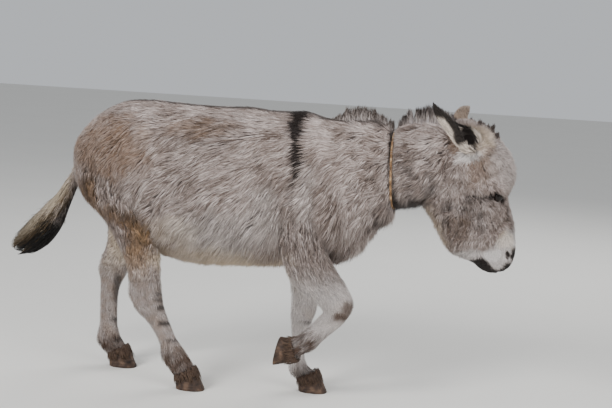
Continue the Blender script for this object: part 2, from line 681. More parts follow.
def ear_shell(name):
    """An ear's skin: the outer wall, then the inner one back to the first rim, thinner at both
    rims. Gives its points, faces, place along, place round and whether a point is on the inner
    wall. The last two points are the middles of root and tip."""
    u, v = np.meshgrid(np.linspace(0, 1, EAR_GRID[0]), np.linspace(-1, 1, EAR_GRID[1]), indexing="ij")
    thick = EAR_WALL * (1 - 0.7 * v**4)
    outer = ear_wall(name, u, v, EAR_COAT + 0 * v)
    inner = ear_wall(name, u, v, EAR_COAT + thick)[:, ::-1]
    points, faces = closed_tube(np.concatenate([outer, inner], 1))

    def both_walls(on_outer, on_inner, ends):
        """Values of the points of both walls, in the order of the points."""
        return np.concatenate([np.concatenate([on_outer, on_inner[:, ::-1]], 1).ravel(), ends])

    along, across = both_walls(u, u, [0, 1]), both_walls(v, v, [0, 0])
    return points, faces, along, across, both_walls(0 * v, 0 * v + 1, [1, 1])


# ==================== Lie of the hair and markings, worked out on the skin ====================

# Where the hair of trunk and neck points: x, z and degrees below straight back.
HAIR_LIE = [
    (-850, 950, 70), (-600, 1040, 15), (-300, 1050, 10), (0, 1040, 15), (200, 1030, 15),
    (-750, 930, 62), (-500, 930, 35), (-250, 930, 25), (0, 930, 30), (200, 930, 18), (400, 950, 12),
    (-800, 800, 75), (-650, 800, 65), (-450, 800, 45), (-200, 800, 42), (0, 800, 55),
    (150, 820, 50), (300, 850, 28), (420, 850, 38), (-700, 650, 70), (-550, 650, 45),
    (-400, 650, 32), (-200, 650, 40), (-50, 650, 62), (100, 680, 68), (250, 750, 52),
    (400, 790, 48), (-500, 530, 58), (-350, 500, 66), (-200, 500, 72), (-50, 520, 76),
    (100, 550, 80), (200, 600, 72),
]
FLOW_REACH = 90.0
FOREHEAD_WHORL = np.array([46.0, 80.0, -36.0])  # the left one of a pair
WHORL_REACH = 45
# Hair of brow and cheek by the eye: place along and across the line of the lids, reach each way,
# and what is added to the hair's length and to the coat's depth.
BROW_HAIR = ((-20, 26), (50, 13), 6, 6)
CHEEK_HAIR = ((-10, -10), (44, 15), -18, -9)

# Shoulder stripe: height, x of its middle, half width.
STRIPE = [
    (842, 16, 3), (876, 20, 13), (911, 21, 18), (947, 18, 21), (992, 12, 24), (1030, 9, 32),
    (1056, 10, 45), (1075, 10, 52),
]
DORSAL_HALF_WIDTH = 30
TAIL_MIDDLE = (480, 700, 900), (-1060, -935, -885)  # heights and the x of the tail's middle there

# Patches of colour: name, middle, reach along x, y and z, and strength. They are on both sides, but
# for those of one leg. Those of the head are in the head's own frame.
BODY_PATCHES = [
    ("rust", (-795, 120, 745), (48, 150, 62), 1.0),
    ("rust", (-770, 120, 680), (50, 150, 42), 0.9),
    ("rust", (-690, 150, 668), (75, 150, 34), 0.8),
    ("rust", (-600, 150, 648), (75, 150, 46), 1.0),
    ("rust", (-600, 150, 575), (55, 120, 70), 1.0),
    ("rust", (-600, 130, 510), (50, 120, 40), 0.7),
    ("gold", (-583, 150, 605), (44, 90, 56), 1.0),
    ("gold", (-600, 150, 500), (60, 90, 80), 0.6),
    ("warm", (-700, 130, 900), (190, 190, 110), 0.9),
    ("warm", (-340, 120, 985), (130, 150, 34), 0.7),
    ("cream", (-240, 0, 480), (270, 180, 100), 1.0),
    ("cream", (-280, 190, 545), (250, 120, 50), 0.55),
    ("cream", (-430, 200, 630), (110, 100, 60), 0.35),
    ("cream", (-480, 60, 520), (120, 110, 90), 0.6),
    ("cream", (0, 50, 560), (90, 70, 90), 0.4),
    ("dark", (398, 60, 762), (84, 200, 48), 0.95),
    ("dark", (300, 60, 690), (60, 70, 40), 0.5),
    ("curl", (-330, 110, 975), (140, 130, 44), 0.9),
    ("curl", (430, 110, 870), (130, 110, 130), 0.9),
    ("curl", (250, 110, 760), (90, 110, 80), 0.4),
    ("curl", (-800, 110, 830), (120, 150, 120), 0.3),
    ("dark", (8, 170, 775), (8, 60, 100), 0.55),
    ("pale", (52, 170, 800), (34, 60, 150), 0.14),
    ("pale", (-100, 170, 720), (60, 60, 120), 0.2),
    ("dark", (-872, 0, 902), (34, 44, 34), 0.9),
    ("pale", (-250, 210, 640), (200, 110, 80), 0.25),
    ("dark", (-330, 110, 955), (150, 130, 50), 0.14),
]
ONE_LEG_PATCHES = [
    ("mud", (204, -120, 368), (26, 70, 28), 0.85),
    ("mud", (184, -120, 338), (40, 70, 20), 1.0),
    ("warm", (190, -120, 352), (56, 70, 64), 0.8),
    ("warm", (25, 50, 307), (30, 60, 26), 0.9),
    ("dark", (12, 50, 267), (34, 60, 8), 0.7),
    ("dark", (-510, -130, 360), (26, 60, 8), 0.8),
    ("dark", (-508, -130, 335), (24, 60, 7), 0.8),
    ("dark", (-500, -130, 305), (24, 60, 8), 0.8),
    ("dark", (-490, -130, 247), (30, 60, 9), 0.8),
    ("dark", (-455, -130, 185), (34, 60, 9), 0.7),
    ("dark", (-760, 100, 190), (40, 60, 7), 0.8),
    ("dark", (-750, 100, 115), (40, 60, 8), 0.8),
    ("dark", (-760, 100, 300), (16, 60, 130), 0.6),
]
HEAD_PATCHES = [
    ("pale", (8, 60, -434), (56, 200, 26), 0.85),
    ("pale", (104, 14, -400), (16, 30, 50), 0.8),
    ("cream", (80, 50, -390), (34, 40, 40), 0.8),
    ("dark", (24, 0, -503), (44, 200, 16), 1.0),
    ("dark", (62, 0, -490), (24, 200, 18), 1.0),
    ("dark", (97, 0, -464), (24, 200, 34), 1.0),
    ("dark", (67, 49, -446), (8, 60, 17), 0.9),
    ("warm", (-66, 95, -300), (50, 60, 66), 0.6),
    ("dark", (-62, 95, -300), (56, 50, 70), 0.36),
    ("curl", (-56, 95, -268), (84, 60, 120), 1.0),
    ("curl", (60, 80, -60), (70, 60, 80), 0.2),
    ("dark", (-20, 95, -250), (46, 40, 30), 0.35),
    ("dark", (114, 20, -340), (30, 40, 70), 0.3),
    ("pale", (120, 50, -115), (70, 80, 80), 0.2),
    ("dark", (0, 95, -190), (34, 60, 8), 0.9),
    ("dark", (34, 95, -203), (28, 60, 10), 1.0),
    ("dark", (58, 95, -214), (22, 60, 15), 1.0),
    ("dark", (78, 85, -226), (22, 60, 19), 1.0),
    ("dark", (98, 75, -238), (20, 60, 19), 1.0),
    ("cream", (-150, 0, -250), (60, 60, 130), 0.4),
    ("cream", (80, 85, -20), (50, 60, 40), 0.6),
    ("pale", (28, 92, -62), (34, 40, 18), 0.8),
    ("warm", (48, 95, -108), (50, 60, 62), 0.55),
    ("rust", (30, 95, -86), (20, 60, 22), 0.2),
]
# Edge of the pale muzzle, seen from the side in the head's own frame: x and z.
MUZZLE_EDGE = [(-50, -386), (-16, -411), (22, -406), (51, -380), (62, -364), (110, -350)]
MASKS = ("dark", "rust", "gold", "warm", "cream", "pale", "mud")
# "curl" is no colour: it says where dark gaps open between curly clumps.


def lay_over(masks, name, value):
    """Raises one kind of marking to a value where it is below it."""
    masks[name] = np.maximum(masks[name], value)


def patches(points, table, seed, one_sided=()):
    """Strength of each kind of patch: 1 within its ragged ellipsoid, falling to 0 round its edge."""
    found = {name: np.zeros(len(points)) for name in (*MASKS, "curl")}
    ragged = 0.16 * waves(points, 60, seed) + 0.1 * waves(points, 18, seed + 1)
    for at, rows in ((folded(points), table), (points, one_sided)):
        for name, middle, reach, strength in rows:
            r = np.sqrt((((at - middle) / reach) ** 2).sum(1)) + ragged
            lay_over(found, name, strength * smooth(1.25, 0.6, r))
    return found


def stripes(points):
    """The cross of the back: a dark line from withers to tail and one down each shoulder."""
    z, middle, half = np.array(STRIPE, float).T
    x = points[:, 0] + 6 * waves(points, 40, 5)
    off = np.abs(x - np.interp(points[:, 2], z, middle))
    width = np.interp(points[:, 2], z, half)
    shoulder = smooth(width + 4, width - 5, off) * (points[:, 2] > 850)
    beside = np.abs(points[:, 1]) + 4 * waves(points, 40, 6)
    spine = smooth(DORSAL_HALF_WIDTH + 6, DORSAL_HALF_WIDTH - 4, beside)
    spine = spine * (points[:, 2] > 900) * (points[:, 0] < 300) * 0.8
    return np.maximum(shoulder, spine)


def flow(points):
    """Way of the hair on trunk and neck: the control angles' directions, blended by Gaussians of
    their distance seen from the side."""
    table = np.array(HAIR_LIE, float)
    d2 = ((points[:, None, [0, 2]] - table[None, :, :2]) ** 2).sum(2)
    weight = np.exp(-d2 / (2 * FLOW_REACH**2)) + 1e-12
    angle = np.radians(table[:, 2])
    x, z = -(weight * np.cos(angle)).sum(1), -(weight * np.sin(angle)).sum(1)
    return unit(np.stack([x, 0 * x, z], 1))


def head_flow(points):
    """Way of the hair on the head: away from the whorl beside the forehead, and more and more
    downwards, and backwards too on the cheeks."""
    p = to_head(points)
    away = p - FOREHEAD_WHORL
    away[:, 1] = p[:, 1] - FOREHEAD_WHORL[1] * np.sign(p[:, 1])
    far = np.linalg.norm(away, axis=1)
    away = unit(away)
    away[:, 1] *= 0.6
    away[:, 0] -= 0.5 * smooth(20, -80, p[:, 0]) * smooth(40, 120, far)
    away[:, 2] -= 0.15 + 0.5 * smooth(60, 140, far)
    return unit(from_head(unit(away)) - HEAD_AT)


def nearest_fields(points, limbs):
    """What the nearest point of the limbs says: coat's depth, hair's length, lie, row and limb."""
    names = list(limbs)
    thin = {name: {k: v[::2, ::2] for k, v in limbs[name].items()} for name in names}
    flat = {
        key: np.concatenate([thin[n][key].reshape(-1, *thin[n][key].shape[2:]) for n in names])
        for key in ("points", "depth", "hair", "lie", "row")
    }
    part = np.concatenate([np.full(thin[n]["depth"].size, PARTS.index(n)) for n in names])
    i = nearest(points, flat["points"])
    return flat["depth"][i], flat["hair"][i], flat["lie"][i], flat["row"][i], part[i]


def shaped(surface, limbs):
    """Rounds the fused skin, then gives it muscles, lids, nostrils, mouth and folds."""
    surface.rounded(4)
    body = nearest_fields(surface.points, limbs)[4] != PARTS.index("head")
    lifted = push_forms(surface.points, surface.normals(), BODY_FORMS)
    surface.points[body] = lifted[body]
    surface.rounded(3)
    local = to_head(surface.points)
    head = head_detail(local) > 0
    rough = waves(local, 22, 40) * 0.8 + waves(local, 9, 41) * 0.35
    normals = to_head(surface.normals() + HEAD_AT)
    local[head] = push_forms(local, normals, HEAD_FORMS, HEAD_FOLDS)[head]
    local[head] += (normals * rough[:, None])[head]
    local[head] = set_mouth(local, normals)[head]
    local[head] = set_nostrils(local, normals)[head]
    surface.points = from_head(local)
    surface.rounded(1)
    surface.points = from_head(set_lids(to_head(surface.points)))


def bald_parts(points):
    """1 where no hair grows: the lids' edges and the nostrils."""
    left = folded(to_head(points))
    gaze, along, up = eye_axes(1)
    d = left - EYE
    eye = smooth(1.15, 0.9, np.hypot(d @ along / 24, d @ up / 12)) * (d @ gaze > 0)
    nostril = smooth(1.15, 0.9, np.linalg.norm((left - NOSTRIL) / (10, 40, 18), axis=1))
    return np.maximum(eye, nostril)


def groomed(points, normals, hair, depth):
    """Changes the coat where something shapes it: it hangs long from the brow, is short below the
    eye, and the rope presses down what would lie over it."""
    left = folded(to_head(points))
    gaze, along, up = eye_axes(1)
    d = left - EYE
    for (x, z), (long, tall), longer, deeper in (BROW_HAIR, CHEEK_HAIR):
        here = np.exp(-(((d @ along - x) / long) ** 2) - ((d @ up - z) / tall) ** 2)
        here = here * (d @ gaze > -40)
        hair, depth = hair + longer * here, depth + deeper * here
    whorl = np.exp(-(((left - FOREHEAD_WHORL) ** 2).sum(1)) / WHORL_REACH**2)
    hair = hair * (1 - 0.45 * whorl)
    depth = depth * (1 - 0.3 * whorl)
    fringe = smooth(600, 530, points[:, 2]) * smooth(-540, -440, points[:, 0])
    fringe = fringe * smooth(110, 40, points[:, 0])
    hair = hair + 3 * fringe * smooth(0.0, -0.5, normals[:, 2])
    front = rope_distance(points)
    pressed = (front > 0) & (points[:, 0] < 420)
    hair = np.where(pressed, np.minimum(hair, np.maximum(front * 0.85, 6)), hair)
    depth = np.where(pressed, np.minimum(depth, 5 + front * 0.4), depth)
    return np.maximum(hair, 4), np.maximum(depth, 1.2)


def rope_distance(points):
    """How far a point lies in front of the plane of the rope."""
    row = np.array(SPINE[ROPE_ROW], float)
    top, way = row[0:2], unit(row[2:4] - row[0:2])
    return (points[:, 0] - top[0]) * -way[1] + (points[:, 2] - top[1]) * way[0]


def on_body(points, part, row):
    """Masks of the markings for points of the body, given their limb and row."""
    masks = patches(points, BODY_PATCHES, 11, ONE_LEG_PATCHES)
    mark_head(masks, to_head(points), of_parts(part, "head"))
    lay_over(masks, "dark", stripes(points) * of_parts(part, "trunk"))
    inside, border = ear_hollows(points)
    lay_over(masks, "dark", inside)
    lay_over(masks, "rust", 0.55 * border)
    mark_legs(masks, points, part, row)
    curled = np.maximum(masks.pop("curl"), masks["rust"])
    gaps = smooth(-0.1, 0.8, 0.7 * waves(points, 15, 61) + 0.9 * waves(points, 36, 62))
    lay_over(masks, "dark", 0.7 * gaps * curled)
    mark_tail(masks, points, of_parts(part, "tail"))
    return masks


def of_parts(part, *names):
    """1 for the points that belong to one of these limbs, and 0 elsewhere."""
    return np.isin(part, [PARTS.index(name) for name in names]) * 1.0


def mark_head(masks, local, on_head):
    """Markings of the head: its patches, the pale muzzle and the dark lower lip."""
    for name, value in patches(local, HEAD_PATCHES, 21).items():
        masks[name] = np.maximum(masks[name] * (1 - on_head), value * on_head)
    edge_x, edge_z = np.array(MUZZLE_EDGE, float).T
    edge = np.interp(local[:, 0], edge_x, edge_z) + 7 * waves(local, 30, 31)
    pale = 0.55 * smooth(edge + 12, edge - 14, local[:, 2]) * on_head
    lip = smooth(3, -3, mouth_offset(local) + 3 * waves(local, 20, 32)) * smooth(-426, -438, local[:, 2])
    line = np.exp(-((mouth_offset(local) / 3.5) ** 2)) * smooth(-420, -436, local[:, 2])
    lay_over(masks, "dark", np.maximum(lip, line) * on_head)
    masks["pale"] = np.maximum(masks["pale"], pale) * (1 - 0.9 * masks["dark"])


def mark_legs(masks, points, part, row):
    """Markings of the legs: cream inside, pale or dusty below the knee, muddy at the fetlock."""
    fore = of_parts(part, "fore_left", "fore_right")
    legs = fore + of_parts(part, "hind_left", "hind_right")
    inner = smooth(95, 70, np.abs(points[:, 1])) * legs * smooth(330, 520, points[:, 2])
    lay_over(masks, "cream", 0.7 * inner)
    lower = legs * smooth(540, 400, points[:, 2])
    dusty = smooth(-0.5, 0.8, waves(points, 45, 65) + 0.5 * waves(points, 18, 66))
    lay_over(masks, "pale", lower * np.where(fore > 0, 0.5, 0.15))
    lay_over(masks, "warm", lower * dusty * np.where(fore > 0, 0.3, 0.75))
    fetlock = smooth(11.1, 12.4, row + 0.5 * waves(points, 20, 68)) * legs
    lay_over(masks, "mud", fetlock * (0.82 + 0.3 * waves(points, 30, 69)))


def mark_tail(masks, points, tail):
    """Markings of the tail: dark in front and in streaks, and cream behind."""
    middle = np.interp(points[:, 2], *TAIL_MIDDLE)
    front = smooth(-12, 14, points[:, 0] - middle)
    lay_over(masks, "dark", 0.8 * tail * front * smooth(800, 700, points[:, 2]))
    lay_over(masks, "cream", 0.5 * tail * (1 - front))
    streaks = smooth(0.0, 0.8, waves(points, 12, 67)) * smooth(760, 640, points[:, 2])
    lay_over(masks, "dark", 0.75 * tail * streaks)


def ear_distance(points, name):
    """Place along an ear's axis, as a share of the ear, and distance from the axis over the
    radius of the ear there."""
    root, tip = (np.array(v, float) for v in EARS[name][:2])
    long = np.linalg.norm(tip - root)
    axis = (tip - root) / long
    along = (points - root) @ axis
    off = np.linalg.norm(points - root - along[..., None] * axis, axis=-1)
    rows = np.array(EAR_SECTIONS, float)
    return along / long, off / np.interp(along / long, rows[:, 0], rows[:, 1])


def ear_hollows(points):
    """What shows of the head inside the ears is 1 in the first mask, and their rusty border is 1
    in the second."""
    inside, border = np.zeros(len(points)), np.zeros(len(points))
    for name in EARS:
        u, r = ear_distance(points, name)
        here = smooth(-0.3, -0.1, u) * smooth(0.75, 0.6, u)
        inside = np.maximum(inside, smooth(0.02, 0.1, u) * smooth(0.75, 0.6, u) * smooth(1.0, 0.9, r))
        border = np.maximum(border, here * smooth(1.7, 1.3, r) * smooth(0.8, 1.0, r))
    return inside, border


def on_ear(along, across, inside, dark_tip):
    """Masks of the markings for points of an ear: its front rim is black from the hollow up to
    the tip, and its back is pale."""
    rim = smooth(0.5, 0.66, np.abs(across)) * smooth(0.12, 0.24, along)
    tip = dark_tip * smooth(0.7, 0.8, along + 0.03 * np.sin(9 * across))
    hollow = inside * smooth(0.8, 0.6, along)
    zero = 0 * along
    rim = rim * (0.2 + 0.8 * dark_tip)
    return dict(
        dark=np.maximum(np.maximum(rim, tip), 0.95 * hollow),
        warm=0.9 * (1 - dark_tip) + zero,
        cream=0.2 + 0.5 * dark_tip * (1 - inside),
        pale=0.3 * dark_tip + zero,
        **dict.fromkeys(("rust", "gold", "mud"), zero),
    )


def build_skin():
    """One skin: the limbs fused, refined and shaped, and the ears let into it. Each vertex carries
    the depth, length, lie and markings of the coat that grows there."""
    limbs = body_limbs()
    fused_mesh = fused(limbs)
    refined(fused_mesh)
    surface = Surface(fused_mesh)
    depth, hair, lie, row, part = nearest_fields(surface.points, limbs)
    shaped(surface, limbs)
    trunk, head = part == PARTS.index("trunk"), part == PARTS.index("head")
    lie[trunk] = flow(surface.points[trunk])
    lie[head] = head_flow(surface.points[head])
    depth, hair = surface.relaxed(depth, 8), surface.relaxed(hair, 8)
    standing = of_parts(part, "fore_left", "hind_left", "hind_right")
    lie[:, 2] -= 0.9 * standing * smooth(11.5, 13, row)
    lie = unit(surface.relaxed(lie, 12))
    hair, depth = groomed(surface.points, surface.normals(), hair, depth)
    masks = on_body(surface.points, part, row)
    bald = bald_parts(surface.points)
    values = dict(depth=depth, hair=hair, bald=bald, part=part.astype(float), lie=lie, **masks)
    points, faces = [surface.points], [list(face.vertices) for face in fused_mesh.polygons]
    for name in EARS:
        first = sum(map(len, points))
        made, ear_faces, ear_values = furred_ear(name)
        values = {key: np.concatenate([values[key], ear_values[key]]) for key in values}
        points.append(made)
        faces += [[i + first for i in face] for face in ear_faces]
    bpy.data.meshes.remove(fused_mesh)
    mesh = new_mesh("skin", np.concatenate(points), faces)
    turned_outwards(mesh)
    layer = mesh.attributes.new("lie", "FLOAT_VECTOR", "POINT")
    layer.data.foreach_set("vector", values.pop("lie").astype(np.float32).ravel())
    for key, value in values.items():
        set_values(mesh, key, value)
    return mesh


def furred_ear(name):
    """An ear's points, faces, and the coat and markings of its points."""
    points, faces, along, across, inside = ear_shell(name)
    root, tip = (np.array(v, float) for v in EARS[name][:2])
    values = dict(
        depth=np.interp(along, EAR_STATIONS, EAR_DEPTHS),
        hair=np.interp(along, EAR_STATIONS, EAR_HAIR_LENGTHS),
        bald=inside * smooth(0.02, 0.1, along),
        part=np.full(len(along), float(PARTS.index("ear"))),
        lie=unit(tip - root) + np.zeros((len(along), 3)),
        **on_ear(along, across, inside, 1.0 if name == "right" else 0.0),
    )
    return points, faces, values


def unwrap(skin):
    """Unwraps the skin by its own shape, into the map that both skin and coat are baked by."""
    skin.data.uv_layers.new(name="OFBake")
    bpy.context.view_layer.objects.active = skin
    skin.select_set(True)
    bpy.ops.object.mode_set(mode="EDIT")
    bpy.ops.mesh.select_all(action="SELECT")
    bpy.ops.uv.smart_project(angle_limit=math.radians(66), island_margin=0.001)
    bpy.ops.object.mode_set(mode="OBJECT")
    skin.select_set(False)


# ==================== Hair ====================

RIDGE = 0.55  # height of a hair's ridge, as a share of its half width
MAP_PATCH = 0.003  # how far across a hair's patch of the map is


def hair_faces(rings):
    """Triangles of one hair: from its root to the first ring, between rings, and to its tip."""
    corners = [(3 * r + 1, 3 * r + 2, 3 * r + 3) for r in range(rings)]
    a, b, c = corners[0]
    faces = [(0, b, a), (0, c, b), (0, a, c)]
    for (a, b, c), (d, e, f) in zip(corners, corners[1:]):
        faces += [(a, b, e), (a, e, d), (b, c, f), (b, f, e), (c, a, d), (c, d, f)]
    a, b, c = corners[-1]
    tip = 3 * rings + 1
    return np.array(faces + [(a, b, tip), (b, c, tip), (c, a, tip)])


def hair_arrays(paths, widths, ups):
    """Closed hairs or tufts. A hair is a path of k points: a root, k - 2 rings of three points
    (left, right and a low ridge) and a tip. Gives all points, triangles and, for each hair's
    points, its place along the path and round it."""
    count, k = paths.shape[:2]
    tangent = unit(paths[:, 2:] - paths[:, :-2])
    up = unit(ups[:, None] - tangent * (tangent * ups[:, None]).sum(-1, keepdims=True))
    side = np.cross(tangent, up)
    middle, w = paths[:, 1:-1], widths[:, :, None]
    rings = np.stack([middle + side * w, middle - side * w, middle + up * w * RIDGE], 2)
    points = np.concatenate([paths[:, :1], rings.reshape(count, -1, 3), paths[:, -1:]], 1)
    along = np.concatenate([[0], np.repeat(np.arange(1, k - 1) / (k - 1), 3), [1]])
    around = np.concatenate([[0.5], np.tile([0, 1, 0.5], k - 2), [0.5]])
    starts = np.arange(count)[:, None, None] * points.shape[1]
    faces = hair_faces(k - 2)[None] + starts
    return points.reshape(-1, 3), faces.reshape(-1, 3), along, around


def hair_mesh(name, paths, widths, ups, uv, values):
    """A mesh of hairs with its map and its values. Each hair has a small patch of the map, at its
    root's place on the skin's map."""
    points, faces, along, around = hair_arrays(paths, widths, ups)
    mesh = bpy.data.meshes.new(name)
    mesh.vertices.add(len(points))
    mesh.vertices.foreach_set("co", (points * MM + SHIFT).astype(np.float32).ravel())
    mesh.loops.add(faces.size)
    mesh.loops.foreach_set("vertex_index", faces.astype(np.int32).ravel())
    mesh.polygons.add(len(faces))
    mesh.polygons.foreach_set("loop_start", np.arange(0, faces.size, 3, dtype=np.int32))
    mesh.update(calc_edges=True)
    each = len(along)
    place = np.stack([around - 0.5, along - 0.5], 1)[None] * MAP_PATCH + uv[:, None]
    layer = mesh.uv_layers.new(name="OFBake")
    layer.uv.foreach_set("vector", place.reshape(-1, 2)[faces.ravel()].astype(np.float32).ravel())
    set_values(mesh, "along", np.tile(along, len(paths)))
    for key, value in values.items():
        set_values(mesh, key, np.repeat(value, each))
    return mesh


LENGTH_SPREAD, HEIGHT_SPREAD, WIDTH_SPREAD = (0.75, 1.2), (0.72, 1.1), (0.7, 1.3)  # random shares
COMMON_HAIR, DENSITY_POWER = 20.0, 0.6  # tufts stand denser where hair is shorter than this
COMMON_LENGTH = 30.0  # a tuft of this length has the look's width
ROOT_DEPTH = 1.5  # how far tufts start below the skin
LOCK_BLOCK = 2000  # tufts compared with all locks at a time


class SkinData:
    """The finished skin read back as arrays, in mm in the animal's frame."""

    def __init__(self, skin):
        mesh = skin.data
        mesh.calc_loop_triangles()
        self.points = (read(mesh.vertices, "co", 3) - SHIFT) / MM
        self.normals = read(mesh.vertex_normals, "vector", 3).astype(float)
        self.values = {"lie": read(mesh.attributes["lie"].data, "vector", 3)}
        for key in ("depth", "hair", "bald", "part", *MASKS):
            self.values[key] = read(mesh.attributes[key].data, "value", 1)
        self.corners = read(mesh.loop_triangles, "vertices", 3, np.int32)
        self.loops = read(mesh.loop_triangles, "loops", 3, np.int32)
        self.uv = read(mesh.uv_layers["OFBake"].uv, "vector", 2)
        a, b, c = (self.points[self.corners[:, k]] for k in range(3))
        self.area = np.linalg.norm(np.cross(b - a, c - a), axis=1) / 2

    def scatter(self, chosen, count, rng):
        """Roots spread evenly by area, denser by each triangle's weight in `chosen`: at equal
        steps of the summed area, and at a random place in the triangle met there."""
        weight = np.cumsum(self.area * chosen)
        steps = (np.arange(count) + rng.uniform(0, 1, count)) / count * weight[-1]
        triangle = np.minimum(np.searchsorted(weight, steps), len(weight) - 1)
        r, s = np.sqrt(rng.uniform(0, 1, count)), rng.uniform(0, 1, count)
        share = np.stack([1 - r, r * (1 - s), r * s], 1)[..., None]
        corners = self.corners[triangle]

        def mixed(values):
            """The corners' values by each root's shares of them."""
            return (values[corners].reshape(count, 3, -1) * share).sum(1)

        found = {key: np.squeeze(mixed(value)) for key, value in self.values.items()}
        found["root"] = mixed(self.points)
        found["normal"] = unit(mixed(self.normals))
        found["uv"] = (self.uv[self.loops[triangle]] * share).sum(1)
        found["part"] = np.round(self.values["part"][corners[:, 0]]).astype(int)
        return found


def locks_of(roots, lie, count, long, wide, rng):
    """Gathers hairs into locks. Some roots are the locks' middles, and a hair joins the one that
    is nearest where distance along the hair counts 1/long and across it 1/wide. Gives each
    hair's middle and how far across the lock it stands, as a share of wide."""
    chosen = rng.choice(len(roots), max(count, 1), replace=False)
    centres = roots[chosen].astype(np.float32)
    best, across = [], []
    size = (centres**2).sum(1)
    blocks = len(roots) // LOCK_BLOCK + 1
    for r, d in zip(np.array_split(roots, blocks), np.array_split(lie, blocks)):
        r, d = r.astype(np.float32), d.astype(np.float32)
        along = d @ centres.T - (d * r).sum(1)[:, None]
        far = size[None] - 2 * r @ centres.T + (r**2).sum(1)[:, None]
        off = np.maximum(far - along**2, 0)
        i = np.argmin((along / long) ** 2 + off / wide**2, axis=1)
        best.append(i)
        across.append(np.sqrt(off[np.arange(len(r)), i]) / wide)
    best = np.concatenate(best)
    return best, centres[best], np.concatenate(across)


def in_the_open(paths, part):
    """Whether a tuft stays out of the hollow of the ears, off the rope and out of the eyes. An
    eye is kept clear within an ellipse that lies behind and below its middle, so that the brow's
    hair hangs over it."""
    front = rope_distance(paths[:, 0])
    clear = (front > 4) | (front < -1.5)
    not_ear = part != PARTS.index("ear")
    for name in EARS:
        for k in range(3):
            u, r = ear_distance(paths[:, k], name)
            clear &= ~((r < 0.9) & (u > 0.08) & (u < 1) & not_ear)
    for side in (1, -1):
        gaze, along, up = eye_axes(side)
        for k in (1, 2):
            d = to_head(paths[:, k]) - mirrored(EYE, side)
            off = np.hypot((d @ along + 8) / 40, (d @ up + 6.5) / 9.5)
            clear &= ~((off < 1) & (d @ gaze > -8))
    return clear


def without(vectors, way):
    """Vectors less their part along a unit way."""
    return vectors - way * (vectors * way).sum(1, keepdims=True)


def density(skin, limbs, box):
    """How densely tufts grow on each triangle: more where hair is short, none on bald skin or
    outside these limbs and this box."""
    first = skin.corners[:, 0]
    kind = skin.values["part"][first].round().astype(int)
    bald = skin.values["bald"][skin.corners].max(1)
    middle = skin.points[skin.corners].mean(1)
    x, _, z = (to_head(middle) if limbs == ("head",) else middle).T
    inside = (x >= box[0]) & (x < box[1]) & (z > box[2]) & (z <= box[3])
    hair = skin.values["hair"][first]
    return of_parts(kind, *limbs) * (bald < 0.5) * inside * (COMMON_HAIR / hair) ** DENSITY_POWER


def coat_piece(name, roots, look, seed, rng, material, hair_scale):
    """Tufts from roots on the skin. Each rises from its root along the lie to the coat's depth,
    and leans to the middle line of its lock."""
    t, count = roots, len(roots["root"])
    normal, root = t["normal"], t["root"]
    swirl = look["turn"] * waves(root, look["swirl"], seed) + rng.normal(0, look["stray"], count)
    lie = unit(without(t["lie"], normal))
    lie = lie * np.cos(swirl)[:, None] + np.cross(normal, lie) * np.sin(swirl)[:, None]
    locks = int(count / look["per_lock"])
    lock, centre, across = locks_of(root, lie, locks, look["long"], look["wide"], rng)
    crease = np.clip(across, 0, 1) ** 1.5
    lock_tone = rng.uniform(-1, 1, int(lock.max()) + 1)[lock]
    relief = 1 + look["relief"] * (0.7 * waves(root, 26, 51) + 0.5 * lock_tone)
    length = t["hair"] * look["reach"] * hair_scale
    length = length * rng.uniform(*LENGTH_SPREAD, count) * (1.05 - 0.2 * crease)
    height = t["depth"] * rng.uniform(*HEIGHT_SPREAD, count) * (1.08 - look["gap"] * crease) * relief
    length = np.maximum(length, height * 1.15)
    pull = without(without(centre - root, lie), normal) * look["gather"]
    path = tuft_path(root, normal, lie, length, height, pull)
    path[:, 2, 2] -= look["droop"] * length * smooth(0.2, -0.6, normal[:, 2])
    clear = in_the_open(path, t["part"])
    widths = look["width"] * rng.uniform(*WIDTH_SPREAD, count) * np.sqrt(length / COMMON_LENGTH)
    tone = 0.2 * waves(root, 150, 3) + 0.15 * waves(root, 40, 4)
    tone = tone + 0.42 * lock_tone + rng.normal(0, 0.24, count)
    values = {key: t[key][clear] for key in MASKS}
    values.update(tone=tone[clear], crease=crease[clear])
    mesh = hair_mesh(name, path[clear], widths[clear, None], normal[clear], t["uv"][clear], values)
    return new_piece(name, mesh, material)


def tuft_path(root, normal, lie, length, height, pull):
    """Root, middle and tip of each tuft. The tip lies as far along the lie as its length and
    height leave, and the middle has risen more than it has gone along."""
    reach = np.sqrt(np.maximum(length**2 - height**2, (0.5 * length) ** 2))
    rise, way = normal * height[:, None], lie * reach[:, None]
    middle = root + way * 0.42 + rise * 0.68 + pull * 0.3
    return np.stack([root - normal * ROOT_DEPTH, middle, root + way + rise + pull], 1)


# ==================== Materials ====================


def linear(code):
    """An sRGB hex colour as linear numbers with an alpha of 1."""
    srgb = np.array([int(code[i : i + 2], 16) for i in (1, 3, 5)]) / 255
    plain = np.where(srgb <= 0.04045, srgb / 12.92, ((srgb + 0.055) / 1.055) ** 2.4)
    return (*plain.tolist(), 1.0)


def paint(colour):
    """A hex colour or a user's colour as four linear numbers."""
    return linear(colour) if isinstance(colour, str) else (*colour, 1.0)


def add(tree, kind, inputs=None, out=0, **settings):
    """Adds a node and gives one of its outputs. An input that is another node's output is linked,
    and any other is set."""
    made = tree.nodes.new("ShaderNode" + kind)
    for key, value in settings.items():
        setattr(made, key, value)
    for key, value in (inputs or {}).items():
        if isinstance(value, bpy.types.NodeSocket):
            tree.links.new(value, made.inputs[key])
        else:
            made.inputs[key].default_value = value
    return made.outputs[out]


